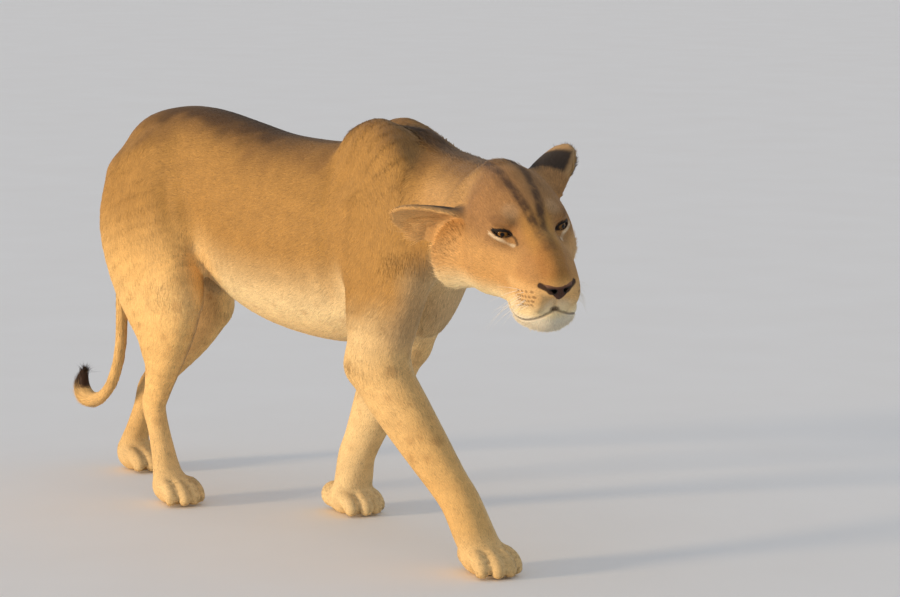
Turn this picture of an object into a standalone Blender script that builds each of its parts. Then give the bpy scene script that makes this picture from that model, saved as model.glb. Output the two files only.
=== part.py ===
"""A life-size lioness in mid walk, head low and turned to its right.

The body is one solid, grown from named lengths and girths, and then parted with thin cuts into the
pieces that a person would name. Metres, +X forward, +Y to the animal's left, +Z up, floor at z = 0.
Every surface is the outside of the coat. At the end all is moved so that the origin lies on the
floor below the middle of the animal's box.
"""

import math

import bmesh
import bpy
import numpy as np
from mathutils import Matrix, Vector

for thing in list(bpy.data.objects):
    bpy.data.objects.remove(thing, do_unlink=True)
group = bpy.data.collections.new("lioness")
bpy.context.scene.collection.children.link(group)

# Driving sizes

CUT_GAP = 0.0006  # width of the cuts that part the body
BASE_VOXEL = 0.011  # grid of the first rough union
BODY_TRIANGLES = 5400  # after thinning, before the cuts
SOLE_DEPTH = 0.006  # how far the pads reach below the floor before they are trimmed flat

# Joint centres of the pose. The right foreleg has just landed and the left is about to leave the
# floor; the right hind leg carries the weight and the left pushes off.
JOINTS = {
    "fore_right": {"shoulder": (0.500, -0.112, 0.590), "elbow": (0.412, -0.137, 0.390),
                   "wrist": (0.628, -0.098, 0.135), "ball": (0.682, -0.090, 0.045)},
    "fore_left": {"shoulder": (0.362, 0.105, 0.575), "elbow": (0.190, 0.125, 0.392),
                  "wrist": (0.052, 0.118, 0.125), "ball": (0.040, 0.114, 0.045)},
    "hind_right": {"hip": (-0.400, -0.085, 0.690), "knee": (-0.240, -0.132, 0.462),
                   "hock": (-0.362, -0.108, 0.205), "ball": (-0.315, -0.105, 0.045)},
    "hind_left": {"hip": (-0.400, 0.085, 0.690), "knee": (-0.447, 0.108, 0.404),
                  "hock": (-0.657, 0.095, 0.185), "ball": (-0.700, 0.080, 0.048)},
}

# Where each pad stands on the floor, and which way its toes point (degrees from +X).
PAWS = {
    "fore_right": {"at": (0.692, -0.088), "heading": -8.0, "width": 1.0},
    "fore_left": {"at": (0.035, 0.113), "heading": 4.0, "width": 1.0},
    "hind_right": {"at": (-0.298, -0.104), "heading": -6.0, "width": 0.90},
    "hind_left": {"at": (-0.678, 0.078), "heading": 4.0, "width": 0.90},
}

# Trunk: place along the back, height of its middle, half width, half depth.
TRUNK = (
    (-0.520, 0.680, 0.060, 0.090),
    (-0.470, 0.682, 0.098, 0.145),
    (-0.380, 0.684, 0.118, 0.168),
    (-0.290, 0.676, 0.122, 0.178),
    (-0.180, 0.648, 0.126, 0.190),
    (-0.050, 0.613, 0.138, 0.204),
    (0.080, 0.600, 0.148, 0.210),
    (0.200, 0.602, 0.148, 0.210),
    (0.310, 0.622, 0.136, 0.198),
    (0.390, 0.652, 0.112, 0.166),
)

# Neck: middle of the section, half width, half depth.
NECK = (
    ((0.400, 0.000, 0.706), 0.108, 0.128),
    ((0.500, -0.012, 0.706), 0.100, 0.110),
    ((0.600, -0.045, 0.706), 0.096, 0.104),
    ((0.690, -0.092, 0.708), 0.094, 0.103),
    ((0.765, -0.135, 0.712), 0.092, 0.100),
)

# Tail: it hangs, and its end curls up behind the heels. Middle of the section, radius.
TAIL = (
    ((-0.500, 0.000, 0.750), 0.044),
    ((-0.560, 0.000, 0.715), 0.036),
    ((-0.598, 0.000, 0.640), 0.028),
    ((-0.618, 0.000, 0.520), 0.0225),
    ((-0.624, 0.000, 0.400), 0.019),
    ((-0.632, 0.000, 0.295), 0.0175),
    ((-0.662, 0.002, 0.220), 0.0160),
    ((-0.708, 0.008, 0.176), 0.0155),
    ((-0.752, 0.014, 0.158), 0.0185),
    ((-0.790, 0.017, 0.161), 0.0215),
    ((-0.806, 0.018, 0.183), 0.0190),
    ((-0.800, 0.019, 0.206), 0.0120),
)

# Girths along a leg: bones passed since its first joint, half width, half depth.
FORE_GIRTHS = (
    (0.00, 0.054, 0.070),
    (0.25, 0.056, 0.066),
    (0.55, 0.049, 0.057),
    (0.85, 0.041, 0.046),
    (1.00, 0.041, 0.044),
    (1.50, 0.044, 0.042),
    (2.00, 0.046, 0.038),
)
HIND_GIRTHS = (
    (1.00, 0.052, 0.072),
    (1.30, 0.050, 0.068),
    (1.60, 0.040, 0.052),
    (1.85, 0.029, 0.038),
    (2.00, 0.0255, 0.034),
    (2.30, 0.025, 0.028),
    (2.70, 0.030, 0.030),
    (3.00, 0.037, 0.034),
)

# Head frame: origin midway between the eyes, +X to the nose, +Y to the left, +Z up.
HEAD_AT = (0.970, -0.2248, 0.7148)
HEAD_YAW, HEAD_PITCH, HEAD_ROLL = -22.6, 11.5, 5.5

# Ears, in the head frame: middle of the root, tip, and the way the hollow faces.
EARS = {
    "right": {"root": (-0.135, -0.078, -0.050), "tip": (-0.204, -0.209, -0.013),
              "faces": (0.660, -0.250, -0.580)},
    "left": {"root": (-0.140, 0.070, 0.012), "tip": (-0.209, 0.140, 0.078),
             "faces": (-0.150, 0.750, -0.650)},
}
EAR_HALF_WIDTH, EAR_HOLLOW, EAR_THICKNESS = 0.060, 0.042, 0.009

# Eyeballs and the bare nose sit in hollows of the head: middle and radii, in the head frame.
INLAYS = {
    "eye_right": ((-0.011, -0.0505, -0.005), (0.0190, 0.0190, 0.0190)),
    "eye_left": ((-0.011, 0.0505, -0.005), (0.0190, 0.0190, 0.0190)),
    "nose": ((0.1410, 0.0, -0.0760), (0.0130, 0.0290, 0.0190)),
}
INLAY_GAP = 0.0004
EAR_CUT_AT = {"right": 0.085, "left": 0.056}  # from the root of the ear; the right one leans on the ruff


def head_matrix():
    """Head frame to body frame."""
    turn = (Matrix.Rotation(math.radians(HEAD_YAW), 4, "Z")
            @ Matrix.Rotation(math.radians(HEAD_PITCH), 4, "Y")
            @ Matrix.Rotation(math.radians(HEAD_ROLL), 4, "X"))
    return Matrix.Translation(HEAD_AT) @ turn


# Shapes that make up the body

def unit(v):
    v = np.asarray(v, float)
    return v / np.linalg.norm(v)


def chain(stations, blend, side=(0, 1, 0), smooth=4, carve=False):
    """A limb: elliptical sections (centre, half width along side, half depth) joined along a curve."""
    rows = np.array([[*centre, width, depth] for centre, width, depth in stations], float)
    if smooth > 1:
        rows = catmull_rom(rows, smooth)
    return {"kind": "chain", "centres": rows[:, :3], "width": rows[:, 3], "depth": rows[:, 4],
            "side": unit(side), "blend": blend, "carve": carve}


def blob(centre, radii, blend, carve=False):
    """An ellipsoid: a muscle, a bone under the skin, or with carve a hollow."""
    return {"kind": "blob", "centre": np.array(centre, float), "radii": np.array(radii, float),
            "axes": np.eye(3), "blend": blend, "carve": carve}


def catmull_rom(rows, steps):
    """The rows of a table with steps - 1 rows added between each two, on a smooth curve."""
    padded = np.vstack([2 * rows[0] - rows[1], rows, 2 * rows[-1] - rows[-2]])
    t = np.linspace(0, 1, steps, endpoint=False)[:, None]
    pieces = []
    for p0, p1, p2, p3 in zip(padded, padded[1:], padded[2:], padded[3:]):
        pieces.append(0.5 * (2 * p1 + (p2 - p0) * t + (2 * p0 - 5 * p1 + 4 * p2 - p3) * t**2
                             + (3 * p1 - p0 - 3 * p2 + p3) * t**3))
    return np.vstack([*pieces, rows[-1:]])


def turned(yaw=0.0, pitch=0.0, roll=0.0):
    """Columns are the turned axes. Degrees; yaw about +Z, then pitch about +Y, then roll about +X."""
    turn = (Matrix.Rotation(math.radians(yaw), 3, "Z") @ Matrix.Rotation(math.radians(pitch), 3, "Y")
            @ Matrix.Rotation(math.radians(roll), 3, "X"))
    return np.array(turn)


def placed(part, matrix):
    """The same part carried by a matrix."""
    matrix = np.array(matrix)
    turn, shift = matrix[:3, :3], matrix[:3, 3]
    moved = dict(part)
    if part["kind"] == "chain":
        moved["centres"] = part["centres"] @ turn.T + shift
        moved["side"] = turn @ part["side"]
    else:
        moved["centre"] = turn @ part["centre"] + shift
        moved["axes"] = turn @ part["axes"]
    return moved


def leg_chain(joints, girths, side, blend):
    """A leg from its joint centres and its girths."""
    points = [np.array(p, float) for p in joints]
    stations = []
    for along, width, depth in girths:
        bone = min(int(along), len(points) - 2)
        share = along - bone
        stations.append(((1 - share) * points[bone] + share * points[bone + 1], width, depth))
    return chain(stations, blend, side, smooth=3)


def paw_parts(paw, hind):
    """Pad, four arched toes and the heel of one paw, standing on the floor."""
    size = paw["width"]
    place = Matrix.Translation((*paw["at"], -SOLE_DEPTH)) @ Matrix.Rotation(
        math.radians(paw["heading"]), 4, "Z")
    parts = [blob((0.0, 0.0, 0.036), (0.052, 0.047 * size, 0.036), 0.016)]
    if not hind:
        parts.append(blob((-0.050, 0.0, 0.040), (0.026, 0.032 * size, 0.030), 0.016))
    for across, ahead in ((-0.0375, 0.026), (-0.0130, 0.044), (0.0130, 0.044), (0.0375, 0.026)):
        y = across * size
        parts.append(chain((
            ((ahead - 0.040, y * 0.80, 0.046), 0.0150 * size, 0.0170),
            ((ahead - 0.010, y * 0.97, 0.046), 0.0165 * size, 0.0185),
            ((ahead + 0.012, y * 1.04, 0.034), 0.0170 * size, 0.0190),
            ((ahead + 0.020, y * 1.04, 0.022), 0.0160 * size, 0.0180),
        ), 0.007, smooth=2))
    return [placed(part, place) for part in parts]


def head_parts():
    """The head in its own frame, eyes at the origin."""
    parts = [
        blob((-0.100, 0, 0.000), (0.118, 0.086, 0.076), 0.0),  # brain case
        blob((-0.150, 0, 0.030), (0.090, 0.052, 0.048), 0.03),  # crown
        blob((-0.035, 0, 0.004), (0.070, 0.060, 0.044), 0.03),  # forehead
    ]
    parts.append(chain((((-0.040, 0, -0.014), 0.048, 0.044), ((0.020, 0, -0.024), 0.040, 0.042),
                        ((0.075, 0, -0.038), 0.036, 0.042), ((0.118, 0, -0.060), 0.030, 0.036)),
                       0.025))  # bridge of the nose
    parts.append(chain((((-0.090, 0, -0.098), 0.074, 0.048), ((-0.020, 0, -0.116), 0.062, 0.043),
                        ((0.040, 0, -0.132), 0.050, 0.036), ((0.078, 0, -0.136), 0.040, 0.032)),
                       0.030))  # lower jaw
    parts.append(blob((0.089, 0, -0.139), (0.034, 0.037, 0.028), 0.022))  # chin
    for side in (-1, 1):
        parts += [
            blob((-0.060, side * 0.058, -0.038), (0.074, 0.038, 0.048), 0.035),  # cheekbone
            blob((-0.090, side * 0.060, -0.086), (0.078, 0.045, 0.060), 0.040),  # jaw muscle
            blob((-0.158, side * 0.088, -0.100), (0.056, 0.052, 0.060), 0.035),  # ruff
            blob((-0.205, side * 0.050, -0.075), (0.070, 0.052, 0.062), 0.050),  # side of the throat
            blob((0.020, side * 0.038, -0.070), (0.070, 0.031, 0.044), 0.035),  # under the eye
            blob((0.085, side * 0.029, -0.088), (0.056, 0.0285, 0.045), 0.018),  # whisker pad
            blob((0.056, side * 0.034, -0.137), (0.044, 0.025, 0.026), 0.022),  # lower lip
            blob((-0.014, side * 0.050, 0.0165), (0.036, 0.020, 0.014), 0.018),  # brow
            blob((0.022, side * 0.0655, -0.005), (0.020, 0.024, 0.013), 0.012, carve=True),  # socket
        ]
    parts.append(blob((0.134, 0, -0.070), (0.017, 0.027, 0.022), 0.012))  # nose
    return parts


def body_parts():
    """Every part of the animal but the ears, in the order in which they are joined."""
    parts = [
        chain([((x, 0, z), width, depth) for x, z, width, depth in TRUNK], 0.0, smooth=6),
        chain(NECK, 0.060, smooth=6),
        chain((((0.425, 0, 0.590), 0.066, 0.082), ((0.540, -0.030, 0.640), 0.068, 0.072),
               ((0.690, -0.100, 0.680), 0.074, 0.070)), 0.035),  # under the neck
        blob((0.416, 0.0, 0.550), (0.068, 0.066, 0.125), 0.050),  # breast
        blob((0.335, 0.0, 0.766), (0.150, 0.080, 0.082), 0.035),  # withers
        blob((0.328, -0.050, 0.789), (0.118, 0.038, 0.078), 0.030),  # top of the right shoulder blade
        blob((0.288, 0.050, 0.784), (0.118, 0.038, 0.078), 0.030),  # top of the left one
    ]
    for side, fore, hind in ((-1, "fore_right", "hind_right"), (1, "fore_left", "hind_left")):
        fore, hind = JOINTS[fore], JOINTS[hind]
        shoulder, elbow = np.array(fore["shoulder"]), np.array(fore["elbow"])
        hip, knee = np.array(hind["hip"]), np.array(hind["knee"])
        hock = np.array(hind["hock"])
        top = np.array((0.325, side * 0.062, 0.842)) if side < 0 else np.array((0.268, 0.060, 0.836))
        middle = 0.5 * (top + shoulder)
        parts += [
            chain(((top + (-0.012, 0, -0.048), 0.030, 0.062),
                   (0.6 * top + 0.4 * shoulder + (-0.004, side * 0.010, 0), 0.040, 0.088),
                   (shoulder + (-0.022, 0, 0.005), 0.050, 0.086)), 0.048),  # shoulder blade
            chain(((middle + (-0.055, side * 0.008, -0.02), 0.040, 0.085),
                   (0.45 * shoulder + 0.55 * elbow + (-0.040, side * 0.006, 0.02), 0.046, 0.084),
                   (elbow + (-0.008, 0, 0.005), 0.044, 0.058)), 0.035),  # triceps
            chain(((shoulder + (-0.006, 0, 0.0), 0.050, 0.060), (elbow + (0.02, 0, 0), 0.048, 0.062)),
                  0.035, smooth=1),  # upper arm
            chain(((hip + (0.02, side * -0.01, 0.045), 0.055, 0.085),
                   (0.7 * hip + 0.3 * knee + (0.0, side * 0.012, 0.0), 0.066, 0.120),
                   (0.3 * hip + 0.7 * knee + (-0.030, side * 0.006, 0), 0.062, 0.118),
                   (knee + (-0.012, 0, 0.01), 0.054, 0.076)), 0.040),  # front of the thigh
            chain(((hip + (-0.070, side * -0.010, 0.000), 0.058, 0.075),
                   (hip + (-0.066, side * 0.010, -0.100), 0.060, 0.080),
                   (0.4 * hip + 0.3 * knee + 0.3 * hock + (-0.060, side * 0.014, 0.0), 0.050, 0.070),
                   (0.55 * knee + 0.45 * hock + (-0.030, side * 0.004, 0.0), 0.034, 0.044)),
                  0.045),  # back of the thigh
        ]
    for name, joints in JOINTS.items():
        hind = "hip" in joints
        parts.append(leg_chain(list(joints.values()), HIND_GIRTHS, (0, 1, 0), 0.030) if hind
                     else leg_chain(list(joints.values())[1:], FORE_GIRTHS, (0, 1, 0), 0.030))
        parts += paw_parts(PAWS[name], hind)
    parts.append(chain([(centre, r, r) for centre, r in TAIL], 0.020))
    matrix = head_matrix()
    head = [placed(part, matrix) for part in head_parts()]
    head[0]["blend"] = 0.045
    return parts + head


# Distance to the joined shape

def ellipsoid_distance(local, radii):
    """Distance to an ellipsoid, to first order, from coordinates along its axes."""
    near = np.linalg.norm(local / radii, axis=-1)
    slope = np.linalg.norm(local / radii**2, axis=-1)
    return np.where(slope > 1e-9, near * (near - 1) / np.maximum(slope, 1e-9), -np.min(radii, -1))


def part_distance(points, part):
    if part["kind"] == "blob":
        local = (points - part["centre"]) @ part["axes"]
        return ellipsoid_distance(local, part["radii"])
    start, end = part["centres"][:-1], part["centres"][1:]
    along = end - start
    length2 = (along**2).sum(1)
    offset = points[:, None, :] - start
    share = np.clip((offset * along).sum(2) / length2, 0, 1)
    offset = offset - share[..., None] * along
    axis = along / np.sqrt(length2)[:, None]
    across = part["side"] - (axis @ part["side"])[:, None] * axis
    across /= np.linalg.norm(across, axis=1)[:, None]
    other = np.cross(axis, across)
    width = part["width"][:-1] + share * np.diff(part["width"])
    depth = part["depth"][:-1] + share * np.diff(part["depth"])
    local = np.stack([(offset * across).sum(2), (offset * other).sum(2), (offset * axis).sum(2)], -1)
    radii = np.stack([width, depth, np.minimum(width, depth)], -1)
    near = np.linalg.norm(local / radii, axis=-1)
    slope = np.maximum(np.linalg.norm(local / radii**2, axis=-1), 1e-9)
    return (near * (near - 1) / slope).min(1)


def part_box(part):
    if part["kind"] == "blob":
        reach = float(part["radii"].max())
        return part["centre"] - reach, part["centre"] + reach
    reach = float(max(part["width"].max(), part["depth"].max()))
    return part["centres"].min(0) - reach, part["centres"].max(0) + reach


def smooth_union(a, b, blend):
    if blend <= 0:
        return np.minimum(a, b)
    mix = np.clip(0.5 + 0.5 * (b - a) / blend, 0, 1)
    return b * (1 - mix) + a * mix - blend * mix * (1 - mix)


def body_distance(points, parts, far=0.10):
    """Distance from each point to the joined body: negative inside."""
    found = np.full(len(points), far * 2)
    for part in parts:
        low, high = part_box(part)
        near = ((points > low - far) & (points < high + far)).all(1)
        if not near.any():
            continue
        part_d = part_distance(points[near], part)
        if part["carve"]:
            found[near] = -smooth_union(-found[near], part_d, part["blend"])
        else:
            found[near] = smooth_union(found[near], part_d, part["blend"])
    return found


# Meshes

def new_object(name, work):
    """An object of the animal's collection from a bmesh, which is freed."""
    mesh = bpy.data.meshes.new(name)
    work.to_mesh(mesh)
    work.free()
    thing = bpy.data.objects.new(name, mesh)
    group.objects.link(thing)
    return thing


def mesh_object(name, vertices, faces):
    mesh = bpy.data.meshes.new(name)
    mesh.from_pydata([tuple(v) for v in vertices], [], faces)
    thing = bpy.data.objects.new(name, mesh)
    group.objects.link(thing)
    return thing


def evaluated(thing, name):
    """A new object with the modifiers of thing applied. The old object is removed."""
    graph = bpy.context.evaluated_depsgraph_get()
    mesh = bpy.data.meshes.new_from_object(thing.evaluated_get(graph))
    fresh = bpy.data.objects.new(name, mesh)
    group.objects.link(fresh)
    bpy.data.objects.remove(thing, do_unlink=True)
    return fresh


def closed_loft(rings):
    """Vertices and faces of a skin over rings of points, with a cap at each end."""
    rows, columns = len(rings), len(rings[0])
    faces = [(r * columns + c, r * columns + (c + 1) % columns,
              (r + 1) * columns + (c + 1) % columns, (r + 1) * columns + c)
             for r in range(rows - 1) for c in range(columns)]
    faces.append(tuple(range(columns))[::-1])
    faces.append(tuple((rows - 1) * columns + c for c in range(columns)))
    return [point for ring in rings for point in ring], faces


def ellipsoid_matrix(centre, axes, radii):
    """Carries a ball of radius 1 at the origin to the ellipsoid."""
    matrix = Matrix.Translation(centre) @ Matrix(np.array(axes) * np.array(radii)).to_4x4()
    return matrix


def ear_axes(ear):
    """Root, length, and the ways along the ear, across it and out of its hollow."""
    root, tip = np.array(ear["root"]), np.array(ear["tip"])
    along = unit(tip - root)
    front = unit(np.array(ear["faces"]) - np.dot(ear["faces"], along) * along)
    return root, np.linalg.norm(tip - root), along, np.cross(front, along), front


def ear_shell(ear, matrix):
    """A cupped, round-tipped shell. u runs across it, v from its root to its tip."""
    root, length, along, across, front = ear_axes(ear)
    rings = []
    for v in np.concatenate([np.linspace(-0.10, 0.80, 7), [0.90, 0.96, 0.99]]):
        half = EAR_HALF_WIDTH * (1 - max(v, 0.0) ** 3.0) ** 0.5
        hollow = EAR_HOLLOW * (1 - 0.75 * max(v, 0) ** 1.5)
        ring = []
        for angle in np.linspace(0, 2 * math.pi, 16, endpoint=False):
            u, inner = math.cos(angle), math.sin(angle)
            depth = hollow * (u * u - 1) * (half / EAR_HALF_WIDTH)
            thick = 0.5 * EAR_THICKNESS * inner * min(1.0, half / 0.012)
            ring.append(root + along * length * v + across * u * half + front * (depth + thick))
        rings.append(ring)
    vertices, faces = closed_loft(rings)
    return [matrix @ Vector(point) for point in vertices], faces


def section_tube(part, columns=14):
    """A closed tube round a chain. Its sections are unlike, so it is lofted ring by ring."""
    centres = part["centres"]
    axis = unit(centres[-1] - centres[0])
    ends = np.vstack([centres[:1] - axis * 0.6 * part["width"][0], centres,
                      centres[-1:] + axis * 0.6 * part["width"][-1]])
    width = np.concatenate([part["width"][:1] * 0.6, part["width"], part["width"][-1:] * 0.6])
    depth = np.concatenate([part["depth"][:1] * 0.6, part["depth"], part["depth"][-1:] * 0.6])
    rows = len(ends)
    rings = []
    for row in range(rows):
        along = unit(ends[min(row + 1, rows - 1)] - ends[max(row - 1, 0)])
        across = unit(part["side"] - (along @ part["side"]) * along)
        other = np.cross(along, across)
        rings.append([ends[row] + across * width[row] * math.cos(turn)
                      + other * depth[row] * math.sin(turn)
                      for turn in np.linspace(0, 2 * math.pi, columns, endpoint=False)])
    return closed_loft(rings)


def rough_union(parts):
    """All the parts melted into one closed mesh of even cells, without the blends."""
    work = bmesh.new()
    for part in parts:
        if part["carve"]:
            continue
        if part["kind"] == "blob":
            matrix = ellipsoid_matrix(part["centre"], part["axes"], part["radii"])
            bmesh.ops.create_uvsphere(work, u_segments=14, v_segments=8, radius=1.0, matrix=matrix)
        else:
            vertices, faces = section_tube(part)
            added = [work.verts.new(vertex) for vertex in vertices]
            for face in faces:
                work.faces.new([added[i] for i in face])
    rough = new_object("rough", work)
    remesh = rough.modifiers.new("melt", "REMESH")
    remesh.mode, remesh.voxel_size, remesh.adaptivity = "VOXEL", BASE_VOXEL, 0.0
    return evaluated(rough, "rough")


def settle(thing, parts, rounds=7):
    """Move the vertices onto the blended surface, with a little evening out on the way."""
    mesh = thing.data
    points = np.empty(len(mesh.vertices) * 3)
    mesh.vertices.foreach_get("co", points)
    points = points.reshape(-1, 3)
    edges = np.empty(len(mesh.edges) * 2, int)
    mesh.edges.foreach_get("vertices", edges)
    start, end = edges.reshape(-1, 2).T
    count = np.bincount(np.concatenate([start, end]), minlength=len(points))[:, None]
    step = 0.0015
    for turn in range(rounds):
        here = body_distance(points, parts)
        slope = np.stack([(body_distance(points + step * axis, parts) - here) / step
                          for axis in np.eye(3)], 1)
        slope /= np.maximum((slope**2).sum(1), 0.25)[:, None]
        points = points - np.clip(here, -0.02, 0.02)[:, None] * slope
        if turn < rounds - 1:
            total = np.zeros_like(points)
            np.add.at(total, start, points[end])
            np.add.at(total, end, points[start])
            points = points + 0.5 * (total / count - points)
    mesh.vertices.foreach_set("co", points.ravel())
    mesh.update()
    print("settled", len(points), "vertices, worst", round(float(np.abs(here).max()), 4))


def thin_out(thing, triangles):
    thin = thing.modifiers.new("thin", "DECIMATE")
    thin.ratio = triangles / (2 * len(thing.data.polygons))
    thin.use_collapse_triangulate = True
    return evaluated(thing, "thin")


def combine(thing, other, operation, name):
    """Boolean with a helper, which is removed afterwards."""
    work = thing.modifiers.new("combine", "BOOLEAN")
    work.operation, work.object, work.solver = operation, other, "EXACT"
    result = evaluated(thing, name)
    bpy.data.objects.remove(other, do_unlink=True)
    return result


def box(name, centre, normal, across, sizes):
    """A box with one face along normal. sizes are full lengths: normal, across, the third way."""
    x = unit(normal)
    y = unit(np.array(across) - np.dot(across, x) * x)
    axes = np.column_stack([x, y, np.cross(x, y)])
    work = bmesh.new()
    bmesh.ops.create_cube(work, size=1.0, matrix=ellipsoid_matrix(centre, axes, sizes))
    return new_object(name, work)


def inlay(name, matrix, place, radii, segments=16):
    work = bmesh.new()
    bmesh.ops.create_uvsphere(work, u_segments=segments, v_segments=segments // 2, radius=1.0,
                              matrix=matrix @ ellipsoid_matrix(place, np.eye(3), radii))
    return new_object(name, work)


def loose_pieces(thing):
    """The separate closed shells of a mesh, each as (vertices, faces)."""
    mesh = thing.data
    owner = list(range(len(mesh.vertices)))

    def find(i):
        while owner[i] != i:
            owner[i] = owner[owner[i]]
            i = owner[i]
        return i

    for edge in mesh.edges:
        a, b = (find(i) for i in edge.vertices)
        owner[a] = b
    pieces = {}
    for face in mesh.polygons:
        pieces.setdefault(find(face.vertices[0]), []).append(tuple(face.vertices))
    found = []
    for faces in pieces.values():
        used = sorted({i for face in faces for i in face})
        place = {i: n for n, i in enumerate(used)}
        found.append(([mesh.vertices[i].co.copy() for i in used],
                      [tuple(place[i] for i in face) for face in faces]))
    return found


def material(name, rgb, roughness):
    made = bpy.data.materials.new(name)
    made.use_nodes = True
    shader = made.node_tree.nodes["Principled BSDF"]
    shader.inputs["Base Color"].default_value = (*rgb, 1)
    shader.inputs["Roughness"].default_value = roughness
    shader.inputs["Metallic"].default_value = 0.0
    made.diffuse_color = (*rgb, 1)
    return made


# Thin cuts that part the body: middle, normal, a direction across, extents across and the third way.
CUTS = (
    ((0.728, -0.113, 0.700), (0.870, -0.480, 0.060), (0.480, 0.870, 0.0), 0.275, 0.300),  # head
    ((0.530, -0.020, 0.700), (0.950, -0.050, 0.300), (0.0, 1.0, 0.0), 0.270, 0.330),  # neck
    ((0.430, -0.140, 0.480), (0.0, -0.700, -0.714), (1.0, 0.0, 0.0), 0.320, 0.230),  # right foreleg
    ((0.268, 0.140, 0.468), (0.0, 0.700, -0.714), (1.0, 0.0, 0.0), 0.345, 0.230),  # left foreleg
    ((-0.350, -0.115, 0.556), (-0.24, -0.60, -0.80), (-1.0, 0.0, 0.30), 0.430, 0.250),  # right thigh
    ((-0.350, 0.115, 0.556), (-0.24, 0.60, -0.80), (-1.0, 0.0, 0.30), 0.430, 0.250),  # left thigh
    ((0.640, -0.095, 0.110), (0.50, 0.0, -0.866), (0.0, 1.0, 0.0), 0.140, 0.160),  # right forepaw
    ((0.046, 0.117, 0.110), (-0.10, 0.0, -0.995), (0.0, 1.0, 0.0), 0.140, 0.160),  # left forepaw
    ((-0.335, -0.106, 0.100), (0.28, 0.0, -0.960), (0.0, 1.0, 0.0), 0.130, 0.140),  # right hind paw
    ((-0.685, 0.086, 0.100), (-0.29, 0.0, -0.957), (0.0, 1.0, 0.0), 0.130, 0.140),  # left hind paw
    ((-0.605, 0.000, 0.600), (-0.16, 0.0, -0.987), (0.0, 1.0, 0.0), 0.080, 0.070),  # tail
    ((-0.662, 0.002, 0.222), (-0.58, 0.05, -0.810), (0.0, 1.0, 0.0), 0.060, 0.060),  # end of the tail
)

# A point in each piece, to name it by.
PIECES = {
    "trunk": (-0.05, 0.0, 0.62), "neck": (0.63, -0.06, 0.70), "head": (0.92, -0.20, 0.67),
    "foreleg_right": (0.52, -0.12, 0.28), "foreleg_left": (0.12, 0.125, 0.27),
    "forepaw_right": (0.69, -0.09, 0.04), "forepaw_left": (0.04, 0.113, 0.04),
    "hindleg_right": (-0.30, -0.12, 0.38), "hindleg_left": (-0.48, 0.105, 0.36),
    "hindpaw_right": (-0.30, -0.104, 0.04), "hindpaw_left": (-0.69, 0.078, 0.04),
    "tail": (-0.62, 0.0, 0.45), "tail_end": (-0.74, 0.012, 0.17),
    "ear_right": None, "ear_left": None,
}

parts = body_parts()
frame = head_matrix()
body = rough_union(parts)
settle(body, parts)
body = thin_out(body, BODY_TRIANGLES)
for ear in EARS.values():
    body = combine(body, mesh_object("ear", *ear_shell(ear, frame)), "UNION", "body")
for place, radii in INLAYS.values():
    hollow = inlay("hollow", frame, place, np.array(radii) + INLAY_GAP)
    body = combine(body, hollow, "DIFFERENCE", "body")
below_floor = box("floor", (0.1, 0.0, -0.05), (0, 0, 1), (1, 0, 0), (0.1, 2.4, 1.0))
body = combine(body, below_floor, "DIFFERENCE", "body")
for centre, normal, across, wide, tall in CUTS:
    body = combine(body, box("cut", centre, normal, across, (CUT_GAP, wide, tall)), "DIFFERENCE", "body")
turn = np.array(frame.to_3x3())
for side, ear in EARS.items():
    root, length, along, across, front = ear_axes(ear)
    centre = frame @ Vector(root + along * EAR_CUT_AT[side] - front * 0.013)
    cut = box("cut", centre, turn @ along, turn @ across, (CUT_GAP, 0.138, 0.084))
    body = combine(body, cut, "DIFFERENCE", "body")
    PIECES["ear_" + side] = tuple(frame @ Vector(root + along * 0.7 * length))

for vertices, faces in loose_pieces(body):
    if len(faces) < 20:
        continue  # a crumb where a cut grazes the flank
    middle = np.mean([v[:] for v in vertices], 0)
    name = min(PIECES, key=lambda key: np.linalg.norm(np.array(PIECES[key]) - middle))
    mesh_object(name, vertices, faces)
bpy.data.objects.remove(body, do_unlink=True)
for name, (place, radii) in INLAYS.items():
    inlay(name, frame, place, radii)

fur = material("short tawny fur", (0.48, 0.27, 0.11), 0.85)
pale_fur = material("paler fur of the legs", (0.58, 0.38, 0.18), 0.85)
dark_fur = material("dark fur of the ears and the tail end", (0.10, 0.06, 0.04), 0.85)
eye = material("amber eye", (0.28, 0.13, 0.03), 0.10)
bare_nose = material("bare skin of the nose", (0.09, 0.045, 0.035), 0.45)
corners = np.array([v.co[:] for thing in group.objects for v in thing.data.vertices])
middle = 0.5 * (corners.min(0) + corners.max(0))
for thing in group.objects:
    name = thing.name
    if name.startswith("eye"):
        choice = eye
    elif name == "nose":
        choice = bare_nose
    elif name.startswith("ear") or name == "tail_end":
        choice = dark_fur
    else:
        choice = pale_fur if "leg" in name or "paw" in name else fur
    thing.data.materials.append(choice)
    work = bmesh.new()
    work.from_mesh(thing.data)
    bmesh.ops.remove_doubles(work, verts=work.verts, dist=0.00002)
    bmesh.ops.triangulate(work, faces=work.faces)
    bmesh.ops.translate(work, verts=work.verts, vec=(-middle[0], -middle[1], 0.0))
    work.to_mesh(thing.data)
    work.free()
    print(name, len(thing.data.polygons), "triangles")
print("the frame's origin is the floor below the middle, at", middle[:2].round(4))
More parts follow.
